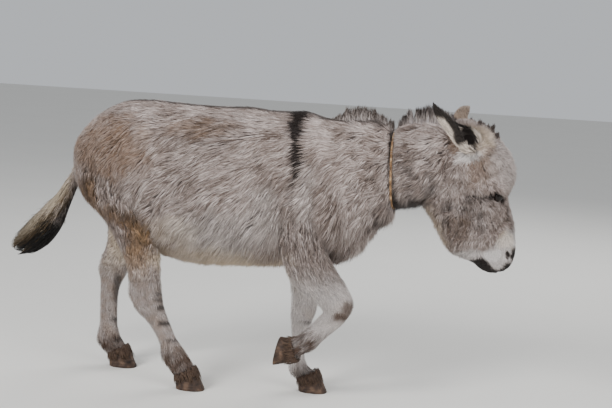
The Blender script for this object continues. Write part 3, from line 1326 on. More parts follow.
def new_material(name, **constants):
    """A material and its main shader, with what is the same all over set on the shader."""
    material = bpy.data.materials.new(name)
    material.use_nodes = True
    shader = material.node_tree.nodes["Principled BSDF"]
    for key, value in constants.items():
        shader.inputs[key.replace("_", " ")].default_value = value
    return material, material.node_tree, shader


def coloured(tree, shader, colour, normal=None):
    """Gives the main shader its colour and, where there is one, its bump."""
    tree.links.new(colour, shader.inputs["Base Color"])
    if normal is not None:
        tree.links.new(normal, shader.inputs["Normal"])


def ramp(tree, factor, stops):
    """Colours by a number: stops are (place, colour)."""
    made = add(tree, "ValToRGB", {"Fac": factor})
    elements = made.node.color_ramp.elements
    for end in (0, -1):
        elements[end].position = stops[end][0]
        elements[end].color = paint(stops[end][1])
    for place, colour in stops[1:-1]:
        elements.new(place).color = paint(colour)
    return made


def over(tree, below, mask, above, most):
    """One colour laid over another by an attribute's number."""
    by = add(tree, "Attribute", out="Fac", attribute_name=mask)
    by = add(tree, "Math", {0: by, 1: most}, operation="MULTIPLY")
    return add(tree, "Mix", {0: by, 6: below, 7: paint(above)}, out=2, data_type="RGBA")


def winter_coat(name, grown):
    """Donkey's winter coat: long dull guard hairs, darker and browner at the root where light
    doesn't reach, with almost no gloss. `grown` is False for the short pile of the skin."""
    material, tree, shader = new_material(
        name, Roughness=0.66, Specular_IOR_Level=0.16, Sheen_Weight=0.05, Sheen_Roughness=0.45
    )
    look = bpy.context.scene.donkey_coat
    tone = add(tree, "Attribute", out="Fac", attribute_name="tone")
    streak = add(tree, "Math", {0: tone, 1: 0.5, 2: 0.5}, operation="MULTIPLY_ADD")
    greys = [(0, look.root_colour), (0.3, "#84756d"), (0.62, look.grey_colour), (1, look.tip_colour)]
    colour = ramp(tree, streak, greys)
    for mask, above, most in (
        ("warm", "#85664b", 0.62),
        ("rust", look.rust_colour, 0.72),
        ("gold", "#b8936a", 0.5),
        ("cream", look.belly_colour, 0.8),
        ("pale", look.muzzle_colour, 0.88),
        ("mud", look.mud_colour, 0.88),
        ("dark", look.cross_colour, 0.97),
    ):
        colour = over(tree, colour, mask, above, most)
    coloured(tree, shader, shaded(tree, colour, grown), None if grown else pile(tree))
    return material


def shaded(tree, colour, grown):
    """Darkens hair towards its root and in the gaps between locks; skin is dark all over."""
    if not grown:
        return add(tree, "HueSaturation", {"Value": 0.74, "Color": colour})
    along = add(tree, "Attribute", out="Fac", attribute_name="along")
    gap = add(tree, "Attribute", out="Fac", attribute_name="crease")
    lit = add(tree, "MapRange", {"Value": along, "To Min": 0.58, "To Max": 1.1})
    part = add(tree, "MapRange", {"Value": gap, "To Min": 1.1, "To Max": 0.58})
    both = add(tree, "Math", {0: lit, 1: part}, operation="MULTIPLY")
    return add(tree, "HueSaturation", {"Value": both, "Color": colour})


def pile(tree):
    """Bump of short hairs about 1.5 mm apart and skin creases about 12 mm apart."""
    place = add(tree, "TexCoord", out="Object")
    hairs = add(tree, "TexNoise", {"Vector": place, "Scale": 650.0, "Detail": 2.0})
    folds = add(tree, "TexNoise", {"Vector": place, "Scale": 80.0, "Detail": 3.0})
    height = add(tree, "Math", {0: folds, 1: 2.0, 2: hairs}, operation="MULTIPLY_ADD")
    return add(tree, "Bump", {"Height": height, "Strength": 0.5, "Distance": 0.0015})


def long_hair(name, root, middle, tip, spread):
    """Coarse hair of mane or tail: smoother and a little glossier than the coat, its colour
    changing from root to tip and from hair to hair."""
    material, tree, shader = new_material(name, Roughness=0.5, Specular_IOR_Level=0.3)
    along = add(tree, "Attribute", out="Fac", attribute_name="along")
    tone = add(tree, "Attribute", out="Fac", attribute_name="tone")
    place = add(tree, "Math", {0: tone, 1: spread, 2: along}, operation="MULTIPLY_ADD")
    colour = ramp(tree, place, [(0.0, root), (0.5, middle), (0.95, tip)])
    value = add(tree, "Math", {0: tone, 1: 0.22, 2: 1.0}, operation="MULTIPLY_ADD")
    coloured(tree, shader, add(tree, "HueSaturation", {"Value": value, "Color": colour}))
    return material


def eye_material(iris):
    """Cornea over a dark iris: wet and clear, so it mirrors the lights sharply."""
    material, tree, shader = new_material(
        "wet cornea over brown iris",
        Roughness=0.2, Specular_IOR_Level=0.2, Coat_Weight=0.06, Coat_Roughness=0.04,
    )
    from_pupil = add(tree, "Attribute", out="Fac", attribute_name="from_pupil")
    place = add(tree, "TexCoord", out="Object")
    rays = add(tree, "TexNoise", {"Vector": place, "Scale": 400.0, "Detail": 3.0})
    wander = add(tree, "Math", {0: rays, 1: 0.25, 2: from_pupil}, operation="MULTIPLY_ADD")
    stops = [(0.2, "#030202"), (0.32, "#0d0805"), (0.6, iris), (0.85, "#0c0705"), (1, "#17100c")]
    coloured(tree, shader, ramp(tree, wander, stops))
    return material


def hoof_material(horn):
    """Hoof horn, worn and earthy: dull, with fine growth rings about 6 mm apart, upright tubules
    about 1 mm apart and dry mud in patches."""
    material, tree, shader = new_material("muddy hoof horn", Roughness=0.7, Specular_IOR_Level=0.3)
    place = add(tree, "TexCoord", out="Object")
    dirt = add(tree, "TexNoise", {"Vector": place, "Scale": 45.0, "Detail": 5.0})
    upright = add(tree, "Mapping", {"Vector": place, "Scale": (1.0, 1.0, 0.08)})
    tubules = add(tree, "TexNoise", {"Vector": upright, "Scale": 700.0, "Detail": 2.0})
    rings = {"Vector": place, "Scale": 26.0, "Distortion": 3.0}
    rings = add(tree, "TexWave", rings, out="Fac", bands_direction="Z")
    height = add(tree, "Math", {0: rings, 1: 1.5, 2: tubules}, operation="MULTIPLY_ADD")
    bump = add(tree, "Bump", {"Height": height, "Strength": 0.4, "Distance": 0.0012})
    coloured(tree, shader, ramp(tree, dirt, [(0.3, "#1d1511"), (0.5, horn), (0.7, "#5f4a3b")]), bump)
    return material


def rope_material(twine):
    """Old jute twine: dull, fibrous and unevenly weathered, with fibres about 0.5 mm thick."""
    material, tree, shader = new_material(
        "weathered jute twine", Roughness=0.85, Specular_IOR_Level=0.15
    )
    place = add(tree, "TexCoord", out="Object")
    wear = add(tree, "TexNoise", {"Vector": place, "Scale": 60.0, "Detail": 4.0})
    fibre = add(tree, "TexNoise", {"Vector": place, "Scale": 1500.0, "Detail": 2.0})
    bump = add(tree, "Bump", {"Height": fibre, "Strength": 0.5, "Distance": 0.0006})
    coloured(tree, shader, ramp(tree, wear, [(0.3, "#4b3a2a"), (0.5, twine), (0.7, "#b39a7a")]), bump)
    return material


# ==================== Long hair, eyes, hooves, rope ====================

MANE_HALF_WIDTH, EAR_HAIR_HALF_WIDTH, LASH_HALF_WIDTH = 1.5, 0.9, 0.45
EAR_HAIRS, CORONET_HAIRS, LASHES = 420, 420, 90  # for each ear, hoof and eye
TAIL_WISPS = 46
TAIL_STATIONS = 10
GOLDEN_TURN = 2.4  # radians between one wisp and the next


def strands(roots, tips, bends, ups, width, stations, rng):
    """Hairs from roots to tips: each is the straight line between them plus its bend times
    4t(1 - t), and a slight random waver that grows towards the tip. Half widths narrow as
    (1 - t^3)."""
    t, count = np.linspace(0, 1, stations)[None, :, None], len(roots)
    line = roots[:, None] + (tips - roots)[:, None] * t
    long = np.linalg.norm(tips - roots, axis=1)[:, None, None]
    waver = rng.normal(0, 0.05, (count, 1, 3))
    waver = waver * np.sin(math.pi * 1.5 * t + rng.uniform(0, 6, (count, 1, 1)))
    paths = line + bends[:, None] * 4 * t * (1 - t) + waver * long * t
    inner = np.linspace(0, 1, stations)[1:-1]
    widths = width * rng.uniform(*WIDTH_SPREAD, (count, 1)) * (1 - inner**3)[None]
    return paths, widths, ups


def hair_piece(name, made, uv, tone, material):
    """A piece of long hair from its paths, widths and ups, with a tone for each hair."""
    return new_piece(name, hair_mesh(name, *made, uv, dict(tone=tone)), material)


def crest_hair(name, rows, count, material, seed, place=np.asarray):
    """Upright hair of mane or forelock: roots along the crest's line, tips along the tip line,
    gathered in small spiky bunches. `place` moves points to the animal's frame."""
    rng = np.random.default_rng(seed)
    at = rng.uniform(0, len(rows) - 1, count)
    r = spline(rows, at)
    bunch = np.round(at * 5 + rng.normal(0, 0.2, count))
    lean = np.random.default_rng(seed + 1).normal(0, 1, (400, 3))[bunch.astype(int) % 400]
    across = rng.uniform(-1, 1, count)
    root = np.stack([r[:, 2], r[:, 4] * across * 0.9, r[:, 3] - 12 - 6 * across**2], 1)
    tip = np.stack([r[:, 0], r[:, 4] * across * 0.75, r[:, 1] - 8 * across**2], 1)
    short = rng.uniform(0.7, 1.0, count) ** 0.6
    tip = root + (tip - root) * short[:, None] + lean * (7, 3.5, 3)
    bend = rng.normal(0, 3, (count, 3))
    ups = unit(rng.normal(size=(count, 3)))
    made = strands(place(root), place(tip), bend, ups, MANE_HALF_WIDTH, 5, rng)
    uv = np.stack([0.02 + 0.96 * at / len(rows), 0.5 + 0.48 * across], 1)
    tone = rng.normal(0, 0.45, count) + 0.3 * lean[:, 0]
    return hair_piece(name, made, uv, tone, material)


def tail_hair(count, material):
    """Switch of many wisps. Each wisp keeps its own place in the tail's section, and its hairs draw
    together towards its end, where it curls backwards. A hair starts at any row of the dock."""
    rng = np.random.default_rng(71)
    wisp = rng.integers(0, TAIL_WISPS, count)
    ends = rng.uniform(9.6, 12.3, TAIL_WISPS)
    curls = rng.uniform(0, 1, TAIL_WISPS) ** 2
    shares = rng.uniform(0.3, 1.0, TAIL_WISPS)
    start = rng.uniform(3.2, 8.5, count)
    end = np.maximum(ends[wisp] - rng.uniform(0, 2.0, count) ** 2, start + 2.5)
    end = np.minimum(end, 12.3)
    t = np.linspace(0, 1, TAIL_STATIONS)[None]
    at = start[:, None] + (end - start)[:, None] * t
    last = len(TAIL) - 1.0
    inside = np.minimum(at, last)
    loose = 1 - 0.8 * smooth(6.5, 11.5, at)
    angle = (wisp * GOLDEN_TURN)[:, None] + rng.normal(0, 0.4, (count, 1)) * loose
    angle = angle + 0.12 * np.sin(5 * t + wisp[:, None])
    full = section(TAIL, inside, angle, power=2.0)[0]
    middle = (section(TAIL, inside, angle * 0)[0] + section(TAIL, inside, angle * 0 + math.pi)[0]) / 2
    share = shares[wisp][:, None] + rng.normal(0, 0.2, (count, 1)) * loose
    early = smooth(0.25, 0.0, t)
    share = share * (1 - early) + 0.75 * early
    share = np.clip(share, 0.05, 0.97 + 0.15 * smooth(9.5, last, at))
    paths = middle + (full - middle) * share[..., None]
    curl = 42 * curls[wisp][:, None] * smooth(0.55, 1.0, t) ** 2
    sway = rng.uniform(-1, 1, TAIL_WISPS)[wisp][:, None] * 16 * smooth(0.5, 1.0, t)
    paths[..., 0] -= curl * 0.45
    paths[..., 1] += sway
    paths[..., 2] += curl * 0.6 + 0.4 * sway
    front = (paths[:, 4] - middle[:, 4]) @ np.array([0.8, 0.0, -0.6]) / 20
    widths = MANE_HALF_WIDTH * rng.uniform(0.6, 1.4, (count, 1)) * (1 - t[:, 1:-1] ** 4)
    uv = np.stack([0.05 + 0.9 * start / last, 0.5 + 0.45 * np.cos(angle[:, 0])], 1)
    tone = rng.normal(0, 0.35, count) + 1.2 * front
    tone = tone + rng.normal(0, 0.5, TAIL_WISPS)[wisp] + 0.9 * smooth(6.0, 8.5, start)
    made = (paths, widths, unit(rng.normal(size=(count, 3))))
    return hair_piece("tail_switch_hair", made, uv, tone, material)


def ear_hair(material):
    """Long soft hair that grows out of the hollow of each ear and lies up along its rims."""
    rng = np.random.default_rng(81)
    groups = []
    for name in EARS:
        u = rng.uniform(0.32, 0.75, EAR_HAIRS)
        v = rng.choice([-1, 1], EAR_HAIRS) * rng.uniform(0.6, 0.92, EAR_HAIRS)
        base = ear_wall(name, u, v, EAR_COAT + 4 + 0 * v)
        further = np.minimum(u + rng.uniform(0.1, 0.22, EAR_HAIRS), 0.95)
        v = v * rng.uniform(0.8, 1.0, EAR_HAIRS)
        end = ear_wall(name, further, v, EAR_COAT + rng.uniform(4, 9, EAR_HAIRS))
        groups.append((base, end, u))
    roots, tips, u = joined(groups)
    bends, ups = rng.normal(0, 3, roots.shape), unit(rng.normal(size=roots.shape))
    made = strands(roots, tips, bends, ups, EAR_HAIR_HALF_WIDTH, 5, rng)
    uv = np.stack([0.1 + 0.8 * u, np.linspace(0.1, 0.9, len(u))], 1)
    return hair_piece("ear_inner_hair", made, uv, rng.normal(0, 0.5, len(u)), material)


def lashes(material):
    """Lashes stand out from the upper lid in a fan and droop forwards."""
    rng = np.random.default_rng(91)
    groups = []
    for side in (1, -1):
        gaze, along, up = eye_axes(side)
        a = rng.uniform(-0.95, 0.95, LASHES)
        ahead, above = a * LID_HALF_LENGTH, UPPER_LID * (1 - a**2) + 1.0
        out = np.sqrt(np.maximum(LID_RADIUS**2 - ahead**2 - above**2, 1))
        root = mirrored(EYE, side) + np.outer(ahead, along) + np.outer(above, up) + np.outer(out, gaze)
        way = unit(gaze * 0.8 + up * 0.15 - np.array([0, 0, 0.35]))
        tip = root + (way + np.outer(a * 0.4, along)) * rng.uniform(9, 15, LASHES)[:, None]
        groups.append((root, tip))
    roots, tips = map(from_head, joined(groups))
    down, ups = (np.tile([0.0, 0.0, z], (len(roots), 1)) for z in (-1.5, 1.0))
    made = strands(roots, tips, down, ups, LASH_HALF_WIDTH, 4, rng)
    uv = np.full((len(roots), 2), 0.5) + rng.uniform(-0.1, 0.1, (len(roots), 2))
    return hair_piece("eyelashes", made, uv, rng.normal(0, 0.4, len(roots)), material)


def eyeball(name, side, material):
    """An eyeball in its own polar grid about its gaze: a sphere with the cornea's low bulge,
    r = R + h exp(-(angle / reach)^2), and the pupil's distance, wider along the lids."""
    gaze, along, up = eye_axes(side)
    theta = np.linspace(0.02, math.pi - 0.02, 30)[:, None]
    phi = np.linspace(0, 2 * math.pi, 40, endpoint=False)[None, :]
    bulge = CORNEA_RISE * np.exp(-((theta / CORNEA_REACH) ** 2))
    r = EYE_RADIUS - EYEBALL_GAP + bulge + 0 * phi
    a, b, c = np.sin(theta) * np.cos(phi), np.sin(theta) * np.sin(phi), np.cos(theta) + 0 * phi
    way = a[..., None] * along + b[..., None] * up + c[..., None] * gaze
    points, faces = closed_tube(from_head(mirrored(EYE, side) + way * r[..., None]))
    mesh = new_mesh(name, points, faces)
    turned_outwards(mesh)
    pupil = np.minimum(np.sqrt((a / 0.34) ** 2 + (b / 0.2) ** 2) * 0.3, 2)
    iris = np.where(c > 0, np.maximum(pupil, np.sqrt(a**2 + b**2) * 1.3), 1)
    set_values(mesh, "from_pupil", np.concatenate([iris.ravel(), [0, 1]]))
    piece = new_piece(name, mesh, material)
    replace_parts(piece, "eye_left" if side > 0 else "eye_right")
    return piece


def on_hoof(name, across, ahead, up, grown=0.0, lift=0.0):
    """A place on a hoof in the animal's frame. The horn's outline at each height goes from heel to
    toe (`ahead` -1 to 1) and from side to side (`across` -1 to 1); `up` is 0 at the sole and 1 at
    the coronet. `grown` swells the outline and `lift` raises the place, in mm."""
    x, z, y, turn = HOOVES[name]
    along = 0.5 + 0.5 * ahead
    rear, front = CORONET_REAR[0] * up, HOOF_LENGTH + (CORONET_FRONT[0] - HOOF_LENGTH) * up
    px = rear + (front - rear) * along + grown * ahead
    pz = up * (CORONET_REAR[1] + (CORONET_FRONT[1] - CORONET_REAR[1]) * along) + lift
    py = (HOOF_HALF_WIDTH + (CORONET_HALF_WIDTH - HOOF_HALF_WIDTH) * up + grown) * across
    c, s = math.cos(math.radians(turn)), math.sin(math.radians(turn))
    return np.stack([x + px * c + pz * s, y + py, z - px * s + pz * c], -1)


def hoof_outline(angle):
    """Across and ahead of a superellipse |a|^p + |b|^p = 1 at an angle."""
    c, s = np.cos(angle), np.sin(angle)
    return tuple(np.sign(v) * np.abs(v) ** (2 / HOOF_POWER) for v in (c, s))


def hoof(name, material):
    """A hoof from its sole's middle out to the rim, up the wall and over the top to its middle.
    The wall has growth rings, and the sole is hollow with a wedge of frog."""
    angle = np.linspace(0, 2 * math.pi, 48, endpoint=False)[None, :]
    across, ahead = hoof_outline(angle)
    sole, side, top = HOOF_ROWS
    share = [np.linspace(0.04, 0.93, sole), np.ones(side), np.linspace(0.9, 0.04, top)]
    up = [np.zeros(sole), np.linspace(0, 1, side), np.ones(top)]
    share, up = np.concatenate(share)[:, None], np.concatenate(up)[:, None]
    wall = (share == 1) * 1.0
    rings = np.sin(up * 2 * math.pi * GROWTH_RINGS + 0.8 * ahead) * wall * (up > 0) * (up < 1)
    rings = rings * RING_HEIGHT
    worn = 2.0 * np.exp(-((up / 0.03) ** 2)) * wall
    across, ahead = across * share, ahead * share
    heel = 0.5 - 0.5 * ahead
    below = (up == 0) & (share < 1)
    wide = across * HOOF_HALF_WIDTH
    frog = np.exp(-((wide / (4 + 10 * heel)) ** 2)) * smooth(0.25, 0.55, heel)
    lift = below * SOLE_HOLLOW * (1 - share**4) * (1 - 0.75 * frog)
    cleft = np.exp(-((wide / 2.5) ** 2)) * smooth(0.7, 0.9, heel)
    lift = lift + below * CLEFT_DEPTH * cleft * smooth(0.95, 0.7, share)
    lift = lift + (up == 1) * (1 - share) * 6
    points = on_hoof(name, across, ahead, up + 0 * across, rings - worn - 0.8 * wall, lift)
    mesh = new_mesh(name, *closed_tube(points))
    turned_outwards(mesh)
    piece = new_piece(name + "_horn", mesh, material)
    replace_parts(piece, name + "_hoof")
    return piece


def coronet_hair(material):
    """Muddy hair that grows from above each hoof and hangs over the upper part of its wall."""
    rng = np.random.default_rng(95)
    groups = []
    for name in HOOVES:
        angle = rng.uniform(0, 2 * math.pi, CORONET_HAIRS)
        drift = angle + rng.normal(0, 0.1, CORONET_HAIRS)
        rise, fall = rng.uniform(1.0, 1.2, CORONET_HAIRS), rng.uniform(0.35, 0.95, CORONET_HAIRS)
        root = on_hoof(name, *hoof_outline(angle), rise, -3.0)
        middle = on_hoof(name, *hoof_outline((angle + drift) / 2), 0.5 * (rise + fall) + 0.12, 4.5)
        tip = on_hoof(name, *hoof_outline(drift), fall, 2.0)
        groups.append((root, tip, middle - (root + tip) / 2))
    roots, tips, bends = joined(groups)
    made = strands(roots, tips, bends, unit(bends), MANE_HALF_WIDTH, 5, rng)
    uv = np.full((len(roots), 2), 0.5) + rng.uniform(-0.4, 0.4, (len(roots), 2))
    return hair_piece("coronet_hair", made, uv, rng.normal(0, 0.5, len(roots)), material)


def carried(path, spread, sides, ups):
    """A round tube of radius `spread` along a closed path of points. Its section's axes are the
    way square to path and `ups`, and the way square to both."""
    tangent = unit(np.roll(path, -1, 0) - np.roll(path, 1, 0))
    side = unit(np.cross(tangent, ups))
    up = np.cross(side, tangent)
    angle = np.linspace(0, 2 * math.pi, sides, endpoint=False)[None, :, None]
    points = path[:, None] + spread * (side[:, None] * np.cos(angle) + up[:, None] * np.sin(angle))
    i, j = np.meshgrid(np.arange(len(path)), np.arange(sides), indexing="ij")
    k, m = (j + 1) % sides, (i + 1) % len(path)
    faces = np.stack([i * sides + j, i * sides + k, m * sides + k, m * sides + j], -1)
    return points.reshape(-1, 3), faces.reshape(-1, 4)


def neck_rope(material, turns):
    """Laid twine round the neck: strands wound as helices about the groove's ring, and a small
    knot whose path is a trefoil, (sin t + 2 sin 2t, cos t - 2 cos 2t, -sin 3t)."""
    steps = turns * 12
    angle = np.linspace(0, 2 * math.pi, steps, endpoint=False)
    row = np.array(SPINE[ROPE_ROW], float)
    way = unit(row[0:2] - row[2:4])
    row[0:2] += way * ROPE_RADIUS
    row[2:4] -= way * ROPE_RADIUS
    row[4] += ROPE_RADIUS
    ring = section(np.array([row, row]), angle * 0, angle)[0]
    out = unit(ring - ring.mean(0))
    tangent = unit(np.roll(ring, -1, 0) - np.roll(ring, 1, 0))
    out = unit(out - tangent * (out * tangent).sum(1, keepdims=True))
    flat = np.cross(tangent, out)
    strand = ROPE_RADIUS / (1 + 2 / math.sqrt(3))
    tubes = []
    for k in range(ROPE_STRANDS):
        turn = (angle * turns + 2 * math.pi * k / ROPE_STRANDS)[:, None]
        path = ring + (ROPE_RADIUS - strand) * (out * np.cos(turn) + flat * np.sin(turn))
        tubes.append(carried(path, strand * 1.04, 7, out))
    t = np.linspace(0, 2 * math.pi, KNOT_STEPS, endpoint=False)
    middle = section(np.array([row, row]), np.zeros(1), np.array([KNOT_ANGLE]))[0][0]
    x, z = np.cos(t) - 2 * np.cos(2 * t), np.sin(t) + 2 * np.sin(2 * t)
    knot = middle + np.stack([x, -np.sin(3 * t) * 1.3, z], 1) * KNOT_SCALE
    tubes.append(carried(knot, KNOT_RADIUS, 10, np.tile([0.0, 1.0, 0.2], (KNOT_STEPS, 1))))
    starts = np.cumsum([0] + [len(points) for points, _ in tubes])
    faces = [face for start, (_, f) in zip(starts, tubes) for face in (f + start).tolist()]
    mesh = new_mesh("neck_rope_twine", np.concatenate([points for points, _ in tubes]), faces)
    turned_outwards(mesh)
    piece = new_piece("neck_rope_twine", mesh, material)
    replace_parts(piece, "neck_rope")
    return piece


# ==================== The coat's pieces ====================

# A look says: over how many mm the lie swirls and how far, in radians, how far single tufts stray,
# tufts in a lock, its length and width, how deep the gaps between locks are, how far a tuft leans
# to the middle of its lock, how far it droops below the body, its width, how much the locks' height
# differs and how much longer than the skin's value its hair is.
BODY_LOOK = dict(
    swirl=80, turn=0.34, stray=0.09, per_lock=15, long=52, wide=7.5, gap=0.55, gather=0.8, droop=0.25,
    width=1.3, relief=0.12, reach=1.25,
)
FLAT_LOOK = dict(
    swirl=50, turn=0.3, stray=0.12, per_lock=10, long=16, wide=4, gap=0.3, gather=0.5, droop=0.0,
    width=0.85, relief=0.15, reach=1.0,
)
HEAD_LOOK = dict(
    swirl=36, turn=0.7, stray=0.28, per_lock=20, long=19, wide=8, gap=0.72, gather=0.9, droop=0.1,
    width=1.0, relief=0.3, reach=1.15,
)
THIGH_LOOK = dict(
    BODY_LOOK, swirl=34, turn=0.6, stray=0.2, per_lock=14, long=34, wide=7, gap=0.7, reach=1.3
)
NECK_LOOK = dict(
    BODY_LOOK, swirl=50, turn=0.6, stray=0.16, per_lock=20, long=34, wide=9.5, gap=0.85, relief=0.25,
    reach=1.15,
)
BELLY_LOOK = dict(
    BODY_LOOK, swirl=50, turn=0.45, stray=0.12, per_lock=20, long=70, wide=9, gap=0.6, gather=0.85,
    droop=0.15,
)
FAR = 9999
ALL = (-FAR, FAR, -FAR, FAR)
# Name, limbs, box that it covers (x from and to, z from and to, those of the head in its own
# frame), number of tufts, random seed and look.
COAT_PIECES = [
    ("coat_croup", ("trunk",), (-FAR, -520, -FAR, FAR), 28000, 1, BODY_LOOK),
    ("coat_barrel", ("trunk",), (-520, -120, 575, FAR), 26000, 2, BODY_LOOK),
    ("coat_chest", ("trunk",), (-120, 190, 575, FAR), 26000, 3, BODY_LOOK),
    ("coat_belly", ("trunk",), (-520, 190, -FAR, 575), 16000, 10, BELLY_LOOK),
    ("coat_neck", ("trunk",), (190, FAR, -FAR, FAR), 30000, 4, NECK_LOOK),
    ("coat_brow_and_poll", ("head",), (-FAR, FAR, -215, FAR), 30000, 5, HEAD_LOOK),
    ("coat_face", ("head",), (-FAR, FAR, -FAR, -215), 30000, 9, dict(HEAD_LOOK, width=0.95)),
    ("coat_forelegs", ("fore_left", "fore_right"), ALL, 22000, 6, FLAT_LOOK),
    ("coat_thighs", ("hind_left", "hind_right"), (-FAR, FAR, 420, FAR), 12000, 11, THIGH_LOOK),
    ("coat_hindlegs", ("hind_left", "hind_right"), (-FAR, FAR, -FAR, 420), 14000, 7, FLAT_LOOK),
    ("coat_tail_and_ears", ("tail", "ear"), ALL, 16000, 8, dict(FLAT_LOOK, width=0.9)),
]

FLESH_NODES = [
    "trunk_croup", "trunk_barrel", "trunk_chest", "neck_lower", "neck_upper", "head", "muzzle", "chin",
    "ear_left", "ear_right", "tail_dock",
    *(f"{leg}_{length}" for leg in HOOVES for length in ("upper", "cannon", "pastern")),
]


# ==================== Add-on ====================


def colour_setting(name, description, code):
    """A colour that a user may change."""
    return bpy.props.FloatVectorProperty(
        name=name, description=description, default=linear(code)[:3], min=0.0, max=1.0,
        subtype="COLOR", size=3,
    )


class DonkeyCoatSettings(bpy.types.PropertyGroup):
    """What a user may change of the coat."""

    hair_scale: bpy.props.FloatProperty(
        name="Hair length", description="Length of the coat's hair, as a share of a full winter coat",
        default=1.0, min=0.5, max=1.2, subtype="FACTOR",
    )
    tuft_share: bpy.props.FloatProperty(
        name="Tufts", description="Share of the coat's tufts that are made",
        default=1.0, min=0.1, max=1.0, subtype="FACTOR",
    )
    root_colour: colour_setting("Darkest hair", "Grey-brown of the darkest tufts", "#4e3f37")
    grey_colour: colour_setting("Grey hair", "Grey of most tufts", "#afa19b")
    tip_colour: colour_setting("Lightest hair", "Grey of the lightest tufts", "#d5c9c4")
    cross_colour: colour_setting("Cross", "Cross of the back, leg bars, lips and ear rims", "#140b08")
    muzzle_colour: colour_setting("Muzzle", "Pale hair of muzzle and lower legs", "#f3efed")
    belly_colour: colour_setting("Belly", "Cream hair of the belly", "#e0ccb0")
    rust_colour: colour_setting("Thighs", "Old rusty hair of thighs and ear borders", "#74542f")
    mud_colour: colour_setting("Mud", "Mud on knee and fetlocks", "#513a2b")


class DonkeyPartSettings(bpy.types.PropertyGroup):
    """What a user may change of mane, tail, eyes, hooves and rope."""

    mane_colour: colour_setting("Mane tips", "Tips of the mane's hair", "#2c211b")
    switch_colour: colour_setting("Tail switch", "Ends of the tail's hair", "#080504")
    iris_colour: colour_setting("Iris", "Brown of the eyes", "#150c07")
    horn_colour: colour_setting("Hooves", "Horn of the hooves", "#3c2d24")
    twine_colour: colour_setting("Neck rope", "Twine of the neck rope", "#86694d")
    twine_turns: bpy.props.IntProperty(
        name="Twist of the rope", description="Turns of the twine's strands round the neck",
        default=28, min=8, max=60,
    )


class DonkeyStageSettings(bpy.types.PropertyGroup):
    """What a user may change of the stage."""

    floor_size: bpy.props.FloatProperty(
        name="Floor size", description="Length of each side of the floor", default=40.0, unit="LENGTH"
    )
    floor_colour: colour_setting("Floor colour", "Colour of the plain floor", "#d9d7d2")
    focal_length: bpy.props.FloatProperty(
        name="Focal length", description="Of the camera, on a 36 mm wide sensor",
        default=77.94, unit="CAMERA",
    )


class DONKEY_OT_skin(bpy.types.Operator):
    """Builds the one skin that stands for all the flesh"""

    bl_idname = "donkey.skin"
    bl_label = "Skin"

    def execute(self, context):
        mesh = build_skin()
        skin = new_piece("skin", mesh, winter_coat("skin under a winter coat", False))
        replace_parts(skin, *FLESH_NODES)
        unwrap(skin)
        return {"FINISHED"}


class DONKEY_OT_coat(bpy.types.Operator):
    """Grows the coat's tufts over the skin"""

    bl_idname = "donkey.coat"
    bl_label = "Coat"

    def execute(self, context):
        settings = context.scene.donkey_coat
        skin = SkinData(bpy.data.objects["skin"])
        material = winter_coat("winter guard hair", True)
        for name, limbs, box, count, seed, look in COAT_PIECES:
            rng = np.random.default_rng(seed)
            roots = skin.scatter(density(skin, limbs, box), int(count * settings.tuft_share), rng)
            coat_piece(name, roots, look, seed, rng, material, settings.hair_scale)
        return {"FINISHED"}


class DONKEY_OT_long_hair(bpy.types.Operator):
    """Builds mane, forelock, tail switch, ear hair and lashes"""

    bl_idname = "donkey.long_hair"
    bl_label = "Long hair"

    def execute(self, context):
        parts = context.scene.donkey_parts
        mane = long_hair("frosted mane hair", "#d8d0d2", "#b0a5a0", parts.mane_colour, 0.3)
        pale = long_hair("pale mane hair", "#d0c8c4", "#b5aaa5", "#43372f", 0.3)
        rear = crest_hair("mane_rear_hair", MANE_REAR, 2600, pale, 61)
        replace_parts(rear, "mane_rear")
        front = crest_hair("mane_front_hair", MANE_FRONT, 3000, mane, 62)
        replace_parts(front, "mane_front")
        lock = long_hair("brown forelock hair", "#a59993", "#7d706a", "#382d28", 0.35)
        forelock = crest_hair("forelock_hair", FORELOCK, 900, lock, 63, from_head)
        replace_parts(forelock, "forelock")
        black = long_hair("coarse black tail hair", "#b3a48f", "#54442f", parts.switch_colour, 0.3)
        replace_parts(tail_hair(2400, black), "tail_switch")
        ear_hair(long_hair("soft ear hair", "#8c7f76", "#b9ada3", "#d6cdc4", 0.2))
        coronet_hair(long_hair("muddy coronet hair", "#513e31", "#3d2d23", "#554335", 0.4))
        lashes(long_hair("eyelash hair", "#120c09", "#120c09", "#1a120d", 0.1))
        return {"FINISHED"}


class DONKEY_OT_eyes(bpy.types.Operator):
    """Builds both eyeballs"""

    bl_idname = "donkey.eyes"
    bl_label = "Eyes"

    def execute(self, context):
        material = eye_material(context.scene.donkey_parts.iris_colour)
        for name, side in (("eyeball_left", 1), ("eyeball_right", -1)):
            eyeball(name, side, material)
        return {"FINISHED"}


class DONKEY_OT_hooves(bpy.types.Operator):
    """Builds the four hooves"""

    bl_idname = "donkey.hooves"
    bl_label = "Hooves"

    def execute(self, context):
        material = hoof_material(context.scene.donkey_parts.horn_colour)
        for name in HOOVES:
            hoof(name, material)
        return {"FINISHED"}


class DONKEY_OT_rope(bpy.types.Operator):
    """Builds the twine worn round the neck"""

    bl_idname = "donkey.rope"
    bl_label = "Neck rope"

    def execute(self, context):
        parts = context.scene.donkey_parts
        neck_rope(rope_material(parts.twine_colour), parts.twine_turns)
        return {"FINISHED"}


CAMERA_AZIMUTH, CAMERA_DOWN, CAMERA_ROLL = (math.radians(v) for v in (12.0, 7.44, 3.0))
CAMERA_PLACE = np.array([1018.8, -4793.0, 1360.0])
